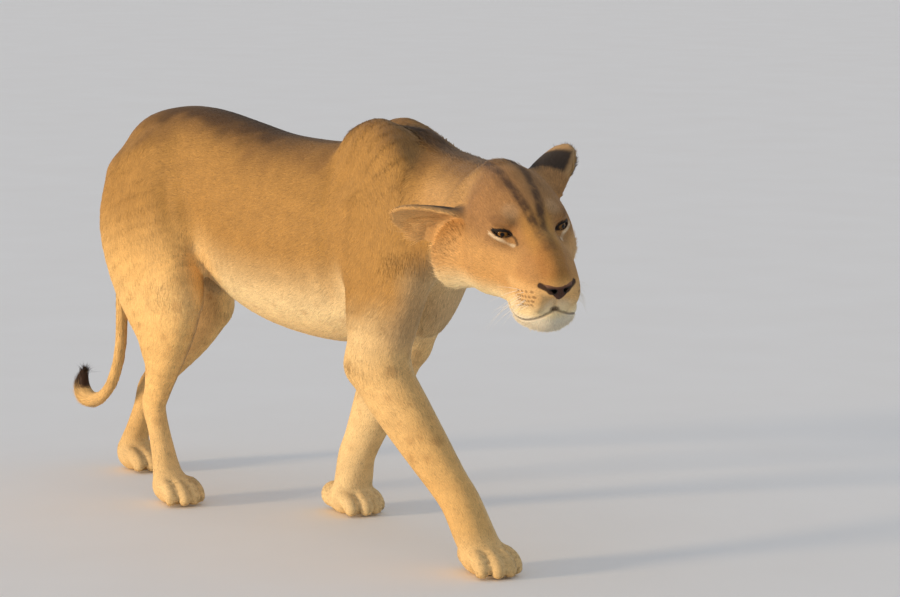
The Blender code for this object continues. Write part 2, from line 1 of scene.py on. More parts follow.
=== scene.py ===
import math
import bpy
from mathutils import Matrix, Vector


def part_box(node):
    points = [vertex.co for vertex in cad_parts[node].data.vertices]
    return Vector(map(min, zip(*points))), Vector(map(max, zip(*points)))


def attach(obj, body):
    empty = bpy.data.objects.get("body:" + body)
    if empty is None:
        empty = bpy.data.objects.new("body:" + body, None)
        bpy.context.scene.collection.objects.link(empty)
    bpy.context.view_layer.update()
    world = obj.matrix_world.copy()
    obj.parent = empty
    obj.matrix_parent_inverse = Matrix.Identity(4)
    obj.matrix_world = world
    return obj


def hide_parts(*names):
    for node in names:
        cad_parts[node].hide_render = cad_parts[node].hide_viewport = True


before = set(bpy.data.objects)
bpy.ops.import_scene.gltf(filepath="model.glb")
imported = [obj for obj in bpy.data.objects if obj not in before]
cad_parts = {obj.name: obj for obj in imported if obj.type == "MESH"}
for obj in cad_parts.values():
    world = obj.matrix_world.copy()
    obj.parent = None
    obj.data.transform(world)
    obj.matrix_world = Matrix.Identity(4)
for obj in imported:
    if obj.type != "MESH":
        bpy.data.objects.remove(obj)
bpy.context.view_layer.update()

from concurrent.futures import ThreadPoolExecutor

import bmesh
import bpy
import numpy as np
import openvdb
from mathutils import Matrix, Vector

scene = bpy.context.scene

# A lioness in mid walk, head low and turned to her right. All shapes are worked out in her own frame:
# +X the way she walks, +Y to her left, floor at z = 0, metres. Each finished mesh is then shifted to
# the row's frame, which has its origin on the floor below the middle of her box.

# Pose and girths, the same as in the solids.
joints = {  # shoulder or hip, elbow or knee, wrist or hock, knuckles
    "foreRight": ((0.500, -0.112, 0.590), (0.412, -0.137, 0.390), (0.628, -0.098, 0.135),
                  (0.682, -0.090, 0.045)),
    "foreLeft": ((0.362, 0.105, 0.575), (0.190, 0.125, 0.392), (0.052, 0.118, 0.125),
                 (0.040, 0.114, 0.045)),
    "hindRight": ((-0.400, -0.085, 0.690), (-0.240, -0.132, 0.462), (-0.362, -0.108, 0.205),
                  (-0.315, -0.105, 0.045)),
    "hindLeft": ((-0.400, 0.085, 0.690), (-0.447, 0.108, 0.404), (-0.657, 0.095, 0.185),
                 (-0.700, 0.080, 0.048)),
}
bladeTops = {"foreRight": (0.325, -0.062, 0.842), "foreLeft": (0.268, 0.060, 0.836)}
paws = {  # place on the floor, heading in degrees from +X, width
    "foreRight": ((0.692, -0.088), -8.0, 1.0), "foreLeft": ((0.035, 0.113), 4.0, 1.0),
    "hindRight": ((-0.298, -0.104), -6.0, 0.90), "hindLeft": ((-0.678, 0.078), 4.0, 0.90),
}
trunkRows = (  # place along the back, height of the middle, half width, half depth
    (-0.520, 0.680, 0.060, 0.090), (-0.470, 0.682, 0.098, 0.145), (-0.380, 0.684, 0.118, 0.168),
    (-0.290, 0.676, 0.122, 0.178), (-0.180, 0.648, 0.126, 0.190), (-0.050, 0.613, 0.138, 0.204),
    (0.080, 0.600, 0.148, 0.210), (0.200, 0.602, 0.148, 0.210), (0.310, 0.622, 0.136, 0.198),
    (0.390, 0.652, 0.112, 0.166),
)
neckRows = (  # middle of the section, half width, half depth
    ((0.400, 0.000, 0.706), 0.108, 0.128), ((0.500, -0.012, 0.706), 0.100, 0.110),
    ((0.600, -0.045, 0.706), 0.096, 0.104), ((0.690, -0.092, 0.708), 0.094, 0.103),
    ((0.765, -0.135, 0.712), 0.092, 0.100),
)
tailRows = (  # middle of the section, radius
    ((-0.500, 0.000, 0.750), 0.044), ((-0.560, 0.000, 0.715), 0.036), ((-0.598, 0.000, 0.640), 0.028),
    ((-0.618, 0.000, 0.520), 0.0225), ((-0.624, 0.000, 0.400), 0.019), ((-0.632, 0.000, 0.295), 0.0175),
    ((-0.662, 0.002, 0.220), 0.0160), ((-0.708, 0.008, 0.176), 0.0155), ((-0.752, 0.014, 0.158), 0.0185),
    ((-0.790, 0.017, 0.161), 0.0215), ((-0.806, 0.018, 0.183), 0.0190), ((-0.800, 0.019, 0.206), 0.0120),
)
foreGirths = (  # bones passed since the first joint, half width, half depth
    (0.00, 0.054, 0.070), (0.25, 0.056, 0.066), (0.55, 0.049, 0.057), (0.85, 0.041, 0.046),
    (1.00, 0.041, 0.044), (1.50, 0.044, 0.042), (2.00, 0.046, 0.038),
)
hindGirths = (
    (1.00, 0.052, 0.072), (1.30, 0.050, 0.068), (1.60, 0.040, 0.052), (1.85, 0.029, 0.038),
    (2.00, 0.0255, 0.034), (2.30, 0.025, 0.028), (2.70, 0.030, 0.030), (3.00, 0.037, 0.034),
)
headAt = (0.970, -0.2248, 0.7148)
headTurn = {"yaw": -22.6, "pitch": 11.5, "roll": 5.5}
eyeAt, eyeRadius = (-0.011, 0.0505, -0.005), 0.0190  # in the head's frame, the left one
ears = {  # root, tip and the way the hollow faces, in the head's frame
    "right": ((-0.135, -0.078, -0.050), (-0.204, -0.209, -0.013), (0.660, -0.250, -0.580)),
    "left": ((-0.140, 0.070, 0.012), (-0.209, 0.140, 0.078), (-0.150, 0.750, -0.650)),
}

headMatrix = (Matrix.Translation(headAt) @ Matrix.Rotation(math.radians(headTurn["yaw"]), 4, "Z")
              @ Matrix.Rotation(math.radians(headTurn["pitch"]), 4, "Y")
              @ Matrix.Rotation(math.radians(headTurn["roll"]), 4, "X"))
headAxes, headOrigin = np.array(headMatrix.to_3x3()), np.array(headAt)

# The row's frame differs from the animal's by one level shift, which the right eye's box gives.
eyeBox = np.array(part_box("eye_right"))
rowShift = eyeBox.mean(0) - (headAxes @ (eyeAt[0], -eyeAt[1], eyeAt[2]) + headOrigin)
rowShift[2] = 0.0


def unit(v):
    v = np.asarray(v, float)
    return v / np.linalg.norm(v, axis=-1, keepdims=True)


def toHead(points):  # animal's frame to head's frame
    return (points - headOrigin) @ headAxes


def fromHead(points):
    return np.asarray(points, float) @ headAxes.T + headOrigin


def ramp(value, start, full):  # 0 at start, 1 at full, smooth between; full may be the lesser
    t = np.clip((value - start) / (full - start), 0, 1)
    return t * t * (3 - 2 * t)


def catmullRom(rows, steps):  # rows with steps - 1 more between each two, on a smooth curve
    rows = np.asarray(rows, float)
    padded = np.vstack([2 * rows[0] - rows[1], rows, 2 * rows[-1] - rows[-2]])
    t = np.linspace(0, 1, steps, endpoint=False)[:, None]
    p0, p1, p2, p3 = padded[:-3, None], padded[1:-2, None], padded[2:-1, None], padded[3:, None]
    curve = 0.5 * (2 * p1 + (p2 - p0) * t + (2 * p0 - 5 * p1 + 4 * p2 - p3) * t**2
                   + (3 * p1 - p0 - 3 * p2 + p3) * t**3)
    return np.vstack([curve.reshape(-1, rows.shape[1]), rows[-1:]])


def inThreads(function, points, size=20000):  # function of points, worked out on every core
    chunks = np.array_split(points, max(1, len(points) // size))
    with ThreadPoolExecutor() as pool:
        return np.concatenate(list(pool.map(function, chunks)))


def meshPiece(name, points, faceSets, smooth=True):  # faceSets: arrays of faces, each with one corner count
    mesh = bpy.data.meshes.new(name)
    mesh.vertices.add(len(points))
    mesh.vertices.foreach_set("co", (np.asarray(points) + rowShift).astype(np.float32).ravel())
    counts = np.concatenate([np.full(len(faces), faces.shape[1]) for faces in faceSets])
    corners = np.concatenate([faces.ravel() for faces in faceSets])
    mesh.loops.add(len(corners))
    mesh.loops.foreach_set("vertex_index", corners.astype(np.int32))
    mesh.polygons.add(len(counts))
    mesh.polygons.foreach_set("loop_start", (np.cumsum(counts) - counts).astype(np.int32))
    mesh.polygons.foreach_set("use_smooth", np.full(len(counts), smooth))
    mesh.update(calc_edges=True)
    piece = bpy.data.objects.new(name, mesh)
    scene.collection.objects.link(piece)
    return piece


def readRows(items, key, size, kind=np.float32):  # one property of a mesh's items, a row for each
    found = np.empty(len(items) * size, kind)
    items.foreach_get(key, found)
    return found.reshape(-1, size)


def meshPoints(mesh):  # places of the vertices, in the animal's frame
    return readRows(mesh.vertices, "co", 3).astype(float) - rowShift


def faceCentres(mesh):
    return readRows(mesh.polygons, "center", 3).astype(float) - rowShift


def vertexNormals(mesh):
    return readRows(mesh.vertex_normals, "vector", 3).astype(float)


def addUv(mesh, name, places):  # a map with one place for each vertex
    corners = readRows(mesh.loops, "vertex_index", 1, np.int32)[:, 0]
    mesh.uv_layers.new(name=name).uv.foreach_set("vector", places[corners].astype(np.float32).ravel())


def setPoints(mesh, points):
    mesh.vertices.foreach_set("co", (points + rowShift).astype(np.float32).ravel())
    mesh.update()


def finishPiece(piece, material, slot, *nodes):
    piece.data.materials.append(material)
    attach(piece, "root")
    if nodes:
        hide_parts(*nodes)


def chain(stations, blend, side=(0, 1, 0), smooth=4):  # elliptical sections joined along a curve
    rows = np.array([[*centre, width, depth] for centre, width, depth in stations], float)
    if smooth > 1:
        rows = catmullRom(rows, smooth)
    return {"kind": "chain", "centres": rows[:, :3], "width": rows[:, 3], "depth": rows[:, 4],
            "side": unit(side), "blend": blend, "carve": False}


def blob(centre, radii, blend, carve=False):  # an ellipsoid: a muscle, or with carve a hollow
    return {"kind": "blob", "centre": np.array(centre, float), "radii": np.array(radii, float),
            "axes": np.eye(3), "blend": blend, "carve": carve}


def placed(part, axes, origin):  # the same part carried by a turn and a shift
    moved = dict(part)
    if part["kind"] == "chain":
        moved["centres"] = part["centres"] @ axes.T + origin
        moved["side"] = axes @ part["side"]
    else:
        moved["centre"] = axes @ part["centre"] + origin
        moved["axes"] = axes @ part["axes"]
    return moved


def legChain(places, girths):
    places = np.array(places, float)
    stations = []
    for along, width, depth in girths:
        bone = min(int(along), len(places) - 2)
        share = along - bone
        stations.append(((1 - share) * places[bone] + share * places[bone + 1], width, depth))
    return chain(stations, 0.030, smooth=3)


def pawParts(at, heading, size, hind):  # pad, heel and four arched toes
    turn = np.array(Matrix.Rotation(math.radians(heading), 3, "Z"))
    parts = [blob((0.0, 0.0, 0.036), (0.052, 0.047 * size, 0.036), 0.016)]
    if not hind:
        parts.append(blob((-0.050, 0.0, 0.040), (0.026, 0.032 * size, 0.030), 0.016))
    for across, ahead in ((-0.0375, 0.026), (-0.0130, 0.044), (0.0130, 0.044), (0.0375, 0.026)):
        y = across * size
        parts.append(chain((
            ((ahead - 0.040, y * 0.80, 0.046), 0.0150 * size, 0.0170),
            ((ahead - 0.010, y * 0.97, 0.046), 0.0165 * size, 0.0185),
            ((ahead + 0.012, y * 1.04, 0.034), 0.0170 * size, 0.0190),
            ((ahead + 0.020, y * 1.04, 0.022), 0.0160 * size, 0.0180),
        ), 0.005, smooth=2))
    return [placed(part, turn, np.array((*at, -0.006))) for part in parts]


def headParts():  # in the head's frame, origin midway between the eyes
    parts = [
        blob((-0.100, 0, 0.000), (0.118, 0.086, 0.076), 0.045),  # brain case
        blob((-0.150, 0, 0.030), (0.090, 0.052, 0.048), 0.03),  # crown
        blob((-0.035, 0, 0.004), (0.070, 0.060, 0.044), 0.03),  # forehead
        chain((((-0.040, 0, -0.014), 0.048, 0.044), ((0.020, 0, -0.024), 0.040, 0.042),
               ((0.075, 0, -0.038), 0.036, 0.042), ((0.118, 0, -0.060), 0.030, 0.036)), 0.025),  # bridge
        chain((((-0.090, 0, -0.098), 0.074, 0.048), ((-0.020, 0, -0.116), 0.062, 0.043),
               ((0.040, 0, -0.132), 0.050, 0.036), ((0.078, 0, -0.136), 0.040, 0.032)), 0.030),  # jaw
        blob((0.089, 0, -0.139), (0.034, 0.037, 0.028), 0.022),  # chin
    ]
    for side in (-1, 1):
        parts += [
            blob((-0.060, side * 0.058, -0.038), (0.074, 0.038, 0.048), 0.035),  # cheekbone
            blob((-0.090, side * 0.060, -0.086), (0.078, 0.045, 0.060), 0.040),  # jaw muscle
            blob((-0.158, side * 0.088, -0.100), (0.056, 0.052, 0.060), 0.035),  # ruff
            blob((-0.205, side * 0.050, -0.075), (0.070, 0.052, 0.062), 0.050),  # side of the throat
            blob((0.020, side * 0.038, -0.070), (0.070, 0.031, 0.044), 0.035),  # under the eye
            blob((0.085, side * 0.029, -0.088), (0.056, 0.0285, 0.045), 0.018),  # whisker pad
            blob((0.056, side * 0.034, -0.137), (0.044, 0.025, 0.026), 0.022),  # lower lip
            blob((-0.014, side * 0.050, 0.0165), (0.036, 0.020, 0.014), 0.018),  # brow
            blob((0.022, side * 0.0655, -0.005), (0.020, 0.024, 0.013), 0.012, carve=True),  # socket
        ]
    parts.append(blob((0.134, 0, -0.070), (0.017, 0.027, 0.022), 0.012))  # nose
    return [placed(part, headAxes, headOrigin) for part in parts]


def bodyParts():  # every part but the ears, in the order in which they are joined
    parts = [
        chain([((x, 0, z), width, depth) for x, z, width, depth in trunkRows], 0.0, smooth=6),
        chain(neckRows, 0.060, smooth=6),
        chain((((0.425, 0, 0.590), 0.066, 0.082), ((0.540, -0.030, 0.640), 0.068, 0.072),
               ((0.690, -0.100, 0.680), 0.074, 0.070)), 0.035),  # under the neck
        blob((0.416, 0.0, 0.550), (0.068, 0.066, 0.125), 0.050),  # breast
        blob((0.335, 0.0, 0.766), (0.150, 0.080, 0.082), 0.035),  # withers
        blob((0.328, -0.050, 0.789), (0.118, 0.038, 0.078), 0.030),  # top of the right shoulder blade
        blob((0.288, 0.050, 0.784), (0.118, 0.038, 0.078), 0.030),  # top of the left one
    ]
    for side, fore, hind in ((-1, "foreRight", "hindRight"), (1, "foreLeft", "hindLeft")):
        shoulder, elbow = np.array(joints[fore][:2])
        hip, knee, hock = np.array(joints[hind][:3])
        top = np.array(bladeTops[fore])
        middle = 0.5 * (top + shoulder)
        parts += [
            chain(((top + (-0.012, 0, -0.048), 0.030, 0.062),
                   (0.6 * top + 0.4 * shoulder + (-0.004, side * 0.010, 0), 0.040, 0.088),
                   (shoulder + (-0.022, 0, 0.005), 0.050, 0.086)), 0.048),  # shoulder blade
            chain(((middle + (-0.055, side * 0.008, -0.02), 0.040, 0.085),
                   (0.45 * shoulder + 0.55 * elbow + (-0.040, side * 0.006, 0.02), 0.046, 0.084),
                   (elbow + (-0.008, 0, 0.005), 0.044, 0.058)), 0.035),  # triceps
            chain(((shoulder + (-0.006, 0, 0.0), 0.050, 0.060), (elbow + (0.02, 0, 0), 0.048, 0.062)),
                  0.035, smooth=1),  # upper arm
            chain(((hip + (0.02, side * -0.01, 0.045), 0.055, 0.085),
                   (0.7 * hip + 0.3 * knee + (0.0, side * 0.012, 0.0), 0.066, 0.120),
                   (0.3 * hip + 0.7 * knee + (-0.030, side * 0.006, 0), 0.062, 0.118),
                   (knee + (-0.012, 0, 0.01), 0.054, 0.076)), 0.040),  # front of the thigh
            chain(((hip + (-0.070, side * -0.010, 0.000), 0.058, 0.075),
                   (hip + (-0.066, side * 0.010, -0.100), 0.060, 0.080),
                   (0.4 * hip + 0.3 * knee + 0.3 * hock + (-0.060, side * 0.014, 0.0), 0.050, 0.070),
                   (0.55 * knee + 0.45 * hock + (-0.030, side * 0.004, 0.0), 0.034, 0.044)),
                  0.045),  # back of the thigh
        ]
    for leg, places in joints.items():
        hind = leg.startswith("hind")
        parts.append(legChain(places if hind else places[1:], hindGirths if hind else foreGirths))
        parts += pawParts(*paws[leg], hind)
    parts.append(chain([(centre, r, r) for centre, r in tailRows], 0.020))
    return parts + headParts()


def ellipsoidDistance(local, radii):  # to first order: f (f - 1) / |grad f| with f the scaled radius
    near = np.linalg.norm(local / radii, axis=-1)
    slope = np.linalg.norm(local / radii**2, axis=-1)
    return np.where(slope > 1e-9, near * (near - 1) / np.maximum(slope, 1e-9), -np.min(radii, -1))


def fromStretches(points, path):  # offsets from the nearest place of each stretch of a bent line
    start, along = path[:-1], np.diff(path, axis=0)
    offset = points[:, None, :] - start
    share = np.clip((offset * along).sum(2) / (along**2).sum(1), 0, 1)
    return offset - share[..., None] * along, share, along


def partDistance(points, part):
    if part["kind"] == "blob":
        return ellipsoidDistance((points - part["centre"]) @ part["axes"], part["radii"])
    offset, share, along = fromStretches(points, part["centres"])
    axis = unit(along)
    across = unit(part["side"] - (axis @ part["side"])[:, None] * axis)
    other = np.cross(axis, across)
    width = part["width"][:-1] + share * np.diff(part["width"])
    depth = part["depth"][:-1] + share * np.diff(part["depth"])
    local = np.stack([(offset * across).sum(2), (offset * other).sum(2), (offset * axis).sum(2)], -1)
    return ellipsoidDistance(local, np.stack([width, depth, np.minimum(width, depth)], -1)).min(1)


def partBox(part):
    if part["kind"] == "blob":
        reach = part["radii"].max()
        return part["centre"] - reach, part["centre"] + reach
    reach = max(part["width"].max(), part["depth"].max())
    return part["centres"].min(0) - reach, part["centres"].max(0) + reach


def smoothUnion(a, b, blend):
    if blend <= 0:
        return np.minimum(a, b)
    mix = np.clip(0.5 + 0.5 * (b - a) / blend, 0, 1)
    return b * (1 - mix) + a * mix - blend * mix * (1 - mix)


def smoothCut(a, b, blend):  # what is left of a when b is taken out
    return -smoothUnion(-a, b, blend)


earSettings = {"halfWidth": 0.0590, "hollow": 0.042, "thickness": 0.0074, "blend": 0.014}


def earFrame(side):  # root, length, and the ways along it, across it and out of its hollow
    root, tip, faces = np.array(ears[side])
    length = np.linalg.norm(tip - root)
    along = (tip - root) / length
    front = unit(faces - (faces @ along) * along)
    return root, length - 0.0015, along, np.cross(front, along), front


def earCoordinates(local, side):  # share of the ear's length, share of its half width, height over its sheet
    root, length, along, across, front = earFrame(side)
    v = (local - root) @ along / length
    half = earSettings["halfWidth"] * np.sqrt(np.maximum(1 - np.clip(v, 0, 1)**3, 0.0004))
    u = (local - root) @ across / half
    hollow = earSettings["hollow"] * (1 - 0.75 * np.clip(v, 0, 1)**1.5)
    sheet = hollow * (np.clip(u, -1, 1)**2 - 1) * half / earSettings["halfWidth"]
    return v, u, (local - root) @ front - sheet


def earDistance(local, side):  # a cupped sheet with a round rim
    length = earFrame(side)[1]
    v, u, height = earCoordinates(local, side)
    wide, half = earSettings["halfWidth"], 0.5 * earSettings["thickness"]
    tip = np.clip(v, 0, None)
    c = u * wide * np.sqrt(np.maximum(1 - np.clip(v, 0, 1)**3, 0.0004))
    edge = ((c / wide)**2 + tip**3 - 1) / np.sqrt((2 * c / wide**2)**2 + (3 * tip**2 / length)**2 + 1)
    edge = np.maximum(edge, (-0.15 - v) * length)
    slope = 2 * earSettings["hollow"] * np.clip(u, -1, 1) / wide
    wall = np.abs(height) / np.sqrt(1 + slope**2)
    return np.hypot(np.maximum(edge + half, 0), wall) - half


lidSettings = {"gaze": (0.83, 0.55, 0.05), "outward": (-0.55, 0.80, 0.13), "halfLength": 0.0172,
               "above": 0.0037, "below": 0.0053, "thickness": 0.0019}


def eyeCoordinates(local, side):  # along the slit to the outer corner, up, and out along the gaze
    mirror = np.array((1, side, 1))
    gaze = unit(np.array(lidSettings["gaze"]) * mirror)
    outward = np.array(lidSettings["outward"]) * mirror
    outward = unit(outward - (outward @ gaze) * gaze)
    up = np.cross(gaze, outward) * side
    offset = local - np.array(eyeAt) * mirror
    return offset @ outward, offset @ up, offset @ gaze


def slitEdges(s):  # heights of both lids' edges: arches, the upper one fuller on its inner half
    share = s / lidSettings["halfLength"]
    arch = np.maximum(1 - share**2, -1.0)
    upper = lidSettings["above"] * arch * (1 - 0.50 * share)
    lower = -lidSettings["below"] * arch * (1 - 0.10 * share)
    return upper, lower


def slitHeight(s, t):  # how far above the upper edge or below the lower one, negative between them
    upper, lower = slitEdges(s)
    return np.maximum(t - upper, lower - t)


def slitDistance(local, side):  # negative inside the slit between the lids
    s, t, n = eyeCoordinates(local, side)
    return np.maximum(slitHeight(s, t), -n)


mouthGuide = catmullRom(((0.1260, 0.0, -0.1205), (0.1200, 0.012, -0.1262), (0.1130, 0.0235, -0.1330),
                         (0.1005, 0.036, -0.1385), (0.084, 0.0465, -0.1420), (0.062, 0.053, -0.1415),
                         (0.044, 0.057, -0.1365), (0.030, 0.060, -0.1300)), 4)
philtrumGuide = catmullRom(((0.134, 0.0, -0.094), (0.128, 0.0, -0.108), (0.126, 0.0, -0.1205)), 3)


def pathDistance(points, path):  # distance to a bent line, and the share of its length at the nearest place
    offset, share, along = fromStretches(points, path)
    far = np.linalg.norm(offset, axis=2)
    nearest = far.argmin(1)
    rows = np.arange(len(points))
    return far[rows, nearest], (nearest + share[rows, nearest]) / len(along)


# Creases of the skin, in the animal's frame: where each runs, how deep and how wide it is.
creases = (
    (((0.226, -0.080, 0.790), (0.246, -0.124, 0.700), (0.266, -0.142, 0.640), (0.262, -0.136, 0.560),
      (0.266, -0.126, 0.490), (0.285, -0.118, 0.430)), 0.0042, 0.011),  # behind the right shoulder
    (((0.170, 0.078, 0.785), (0.160, 0.130, 0.700), (0.150, 0.142, 0.600), (0.140, 0.128, 0.500)),
     0.0040, 0.012),  # behind the left shoulder
    (((-0.280, -0.138, 0.700), (-0.248, -0.150, 0.635), (-0.226, -0.154, 0.580), (-0.196, -0.148, 0.520)),
     0.0040, 0.013),  # right flank fold
    (((-0.300, 0.138, 0.690), (-0.270, 0.150, 0.620), (-0.262, 0.150, 0.560), (-0.275, 0.140, 0.500)),
     0.0034, 0.013),  # left flank fold
    # wrinkles of the right upper arm
    (((0.448, -0.190, 0.500), (0.486, -0.182, 0.492), (0.520, -0.160, 0.488)), 0.0024, 0.0055),
    (((0.440, -0.192, 0.462), (0.480, -0.186, 0.452), (0.515, -0.165, 0.446)), 0.0026, 0.0055),
    (((0.432, -0.190, 0.425), (0.470, -0.186, 0.414), (0.505, -0.168, 0.408)), 0.0024, 0.0055),
)


def headShare(points, local, low, high):  # 0 on the body, 1 on the head, without the forepaw below it
    return ramp(local[:, 0], low, high) * ramp(points[:, 2], 0.44, 0.50)


depths = {"body": 0.0054, "leg": 0.0034, "paw": 0.0024, "head": 0.0026, "muzzle": 0.0016}


def coatDepth(points, local):  # how far the skin lies below the coat's tips
    z = points[:, 2]
    depth = depths["body"] - (depths["body"] - depths["leg"]) * ramp(z, 0.34, 0.16)
    depth -= (depths["leg"] - depths["paw"]) * ramp(z, 0.10, 0.05)
    onHead = headShare(points, local, -0.20, -0.09)
    depth = depth * (1 - onHead) + depths["head"] * onHead
    return depth - (depths["head"] - depths["muzzle"]) * ramp(local[:, 0], 0.03, 0.08)


def headDetail(found, local):  # ears, lids, mouth, the groove over it and the bed of the nose
    for side in ears:
        found = smoothUnion(found, earDistance(local, side), earSettings["blend"])
    for side in (-1, 1):
        s, t, n = eyeCoordinates(local, side)
        ball = np.sqrt(s**2 + t**2 + n**2) - eyeRadius
        found = smoothUnion(found, ball - lidSettings["thickness"], 0.005)
        high = slitEdges(s * 0.92)[0] + 0.0062
        fold = np.hypot(t - high, 0.4 * np.maximum(-ball - 0.003, 0))  # the crease over the upper lid
        found = found + 0.0012 * np.exp(-(fold / 0.0016)**2) * ramp(0.020 - np.abs(s), 0, 0.008) * (n > 0)
        found = smoothCut(found, slitDistance(local, side), 0.0012)
    near = np.flatnonzero((local[:, 0] > 0.01) & (local[:, 2] < -0.04))
    if len(near):
        groove, share = pathDistance(symmetric(local[near]), mouthLine)
        found[near] = smoothCut(found[near], groove - 0.0025 * (1 - 0.40 * share), 0.002)
        found[near] = smoothCut(found[near], pathDistance(local[near], philtrum)[0] - 0.0022, 0.003)
        found[near] = smoothCut(found[near], padDistance(local[near]) + 0.003, 0.001)
    return found


def padDistance(local):  # the nose's leather without its nostrils: a rounded pad, narrow below
    folded = symmetric(local)
    pad = ellipsoidDistance(local - (0.1335, 0, -0.0760), np.array((0.0195, 0.0320, 0.0208)))
    wing = ellipsoidDistance(folded - (0.1330, 0.0180, -0.0740), np.array((0.0165, 0.0150, 0.0135)))
    found = smoothUnion(pad, wing, 0.006)
    lean = unit((0.0, 0.76, -0.65))
    found = smoothCut(found, -((folded - (0.14, 0.0175, -0.0770)) @ lean), 0.004)  # sides slant to the tip
    return smoothCut(found, -(local[:, 2] + 0.0590 + 0.02 * (0.15 - local[:, 0])), 0.004)


nostrilSlit = np.array(((0.1460, 0.0165, -0.0735), (0.1410, 0.0250, -0.0690), (0.1330, 0.0320, -0.0660)))
nostrilTurn = np.array(Matrix.Rotation(math.radians(25), 3, "Z") @ Matrix.Rotation(math.radians(-12), 3, "X"))


def nostrilDistance(folded):
    offset = (folded - (0.1480, 0.0125, -0.0755)) @ nostrilTurn
    hole = ellipsoidDistance(offset, np.array((0.0130, 0.0072, 0.0042)))
    slit = pathDistance(folded, nostrilSlit)[0]
    return smoothUnion(hole, slit - 0.0023, 0.004)


def symmetric(local):  # the head's frame folded onto its left side
    return local * (1, 0, 1) + np.abs(local) * (0, 1, 0)


anatomy = bodyParts()


skinSettings = {
    "bodyStep": 0.0092, "headStep": 0.0037, "soleHeight": 0.0008,
    "neckCut": 0.655, "neckGap": 0.006, "neckLow": 0.44,  # where the two grids meet
    "eyeReach": 0.036, "muzzle": (0.10, 0, -0.09), "muzzleReach": 0.085,  # what is refined
    "bodyBox": ((-0.850, -0.300, -0.020), (0.800, 0.280, 0.930)),
    "headBox": ((0.630, -0.470, 0.440), (1.160, 0.040, 0.920)),
}


def skinDistance(points, detailed=True, far=0.10):  # signed distance to the bare skin
    found = np.full(len(points), far * 2)
    for part in anatomy:
        low, high = partBox(part)
        near = ((points > low - far) & (points < high + far)).all(1)
        if not near.any():
            continue
        d = partDistance(points[near], part)
        join = smoothCut if part["carve"] else smoothUnion
        found[near] = join(found[near], d, part["blend"])
    local = toHead(points)
    found = found + coatDepth(points, local)
    for path, depth, width in creases:
        path = np.array(path)
        near = np.flatnonzero(((points > path.min(0) - 0.05) & (points < path.max(0) + 0.05)).all(1))
        if len(near):
            away = pathDistance(points[near], path)[0]
            found[near] += depth * np.exp(-(away / width)**2)
    near = np.flatnonzero((np.abs(local - (-0.04, 0, -0.04)) < (0.24, 0.26, 0.17)).all(1))
    if detailed and len(near):
        found[near] = headDetail(found[near], local[near])
    return np.maximum(found, skinSettings["soleHeight"] - points[:, 2])


def ontoFace(guide):  # a line of the head's frame brought onto the skin
    line = guide.copy()
    step = 0.0005
    for turn in range(4):
        here = skinDistance(fromHead(line), False)
        slope = [skinDistance(fromHead(line + step * axis), False) - here for axis in np.eye(3)]
        slope = np.stack(slope, 1) / step
        line -= here[:, None] * slope / np.maximum((slope**2).sum(1), 0.3)[:, None]
    return line


mouthLine, philtrum = ontoFace(mouthGuide), ontoFace(philtrumGuide)


def levelSet(distance, low, high, step):  # a surface's points and quads: coarse cells, then fine ones
    coarse = 4
    low = np.array(low)
    cells = np.ceil((np.array(high) - low) / step / coarse).astype(int)
    index = np.stack(np.meshgrid(*[np.arange(n) for n in cells], indexing="ij"), -1).reshape(-1, 3)
    rough = inThreads(distance, low + (index * coarse + 0.5 * (coarse - 1)) * step)
    near = np.abs(rough) < step * coarse * 1.4
    values = np.clip(rough, -3 * step, 3 * step).reshape(cells)
    for axis in range(3):
        values = np.repeat(values, coarse, axis)
    offsets = np.stack(np.meshgrid(*[np.arange(coarse)] * 3, indexing="ij"), -1).reshape(-1, 3)
    fine = ((index[near] * coarse)[:, None, :] + offsets).reshape(-1, 3)
    values[tuple(fine.T)] = np.clip(inThreads(distance, low + fine * step), -3 * step, 3 * step)
    grid = openvdb.FloatGrid(3 * step)
    grid.copyFromArray(values.astype(np.float32))
    points, quads = grid.convertToPolygons(0.0, 0.0)[::2]
    return low + points * step, quads[:, ::-1].astype(np.int64)


def keepFaces(points, quads, keep):  # the kept quads and only the points that they use
    quads = quads[keep]
    used, place = np.unique(quads, return_inverse=True)
    return points[used], place.reshape(quads.shape)


def refineMesh(mesh, chosen):  # each chosen face in four
    work = bmesh.new()
    work.from_mesh(mesh)
    work.faces.ensure_lookup_table()
    edges = {edge for i in np.flatnonzero(chosen) for edge in work.faces[i].edges}
    bmesh.ops.subdivide_edges(work, edges=list(edges), cuts=1, use_grid_fill=True)
    work.to_mesh(mesh)
    work.free()


def settle(mesh, chosen, rounds, even=0.5):  # moves the chosen points onto the skin and evens them out
    points = meshPoints(mesh)
    start, end = readRows(mesh.edges, "vertices", 2, np.int32).T
    ends = np.concatenate([start, end])
    others = np.concatenate([end, start])
    count = np.bincount(ends, minlength=len(points))[:, None]
    step = 0.0006
    for turn in range(rounds):
        here = inThreads(skinDistance, points[chosen])
        slope = np.stack([(inThreads(skinDistance, points[chosen] + step * axis) - here) / step
                          for axis in np.eye(3)], 1)
        slope /= np.maximum((slope**2).sum(1), 0.30)[:, None]
        points[chosen] -= np.clip(here, -0.006, 0.006)[:, None] * slope
        if turn < rounds - 1:
            middle = [np.bincount(ends, points[others, i], len(points)) for i in range(3)]
            middle = np.stack(middle, 1) / count
            points[chosen] += even * (middle - points)[chosen]
    setPoints(mesh, points)
    print("settled", len(chosen), "points, worst", round(float(np.abs(here).max()) * 1000, 2), "mm")


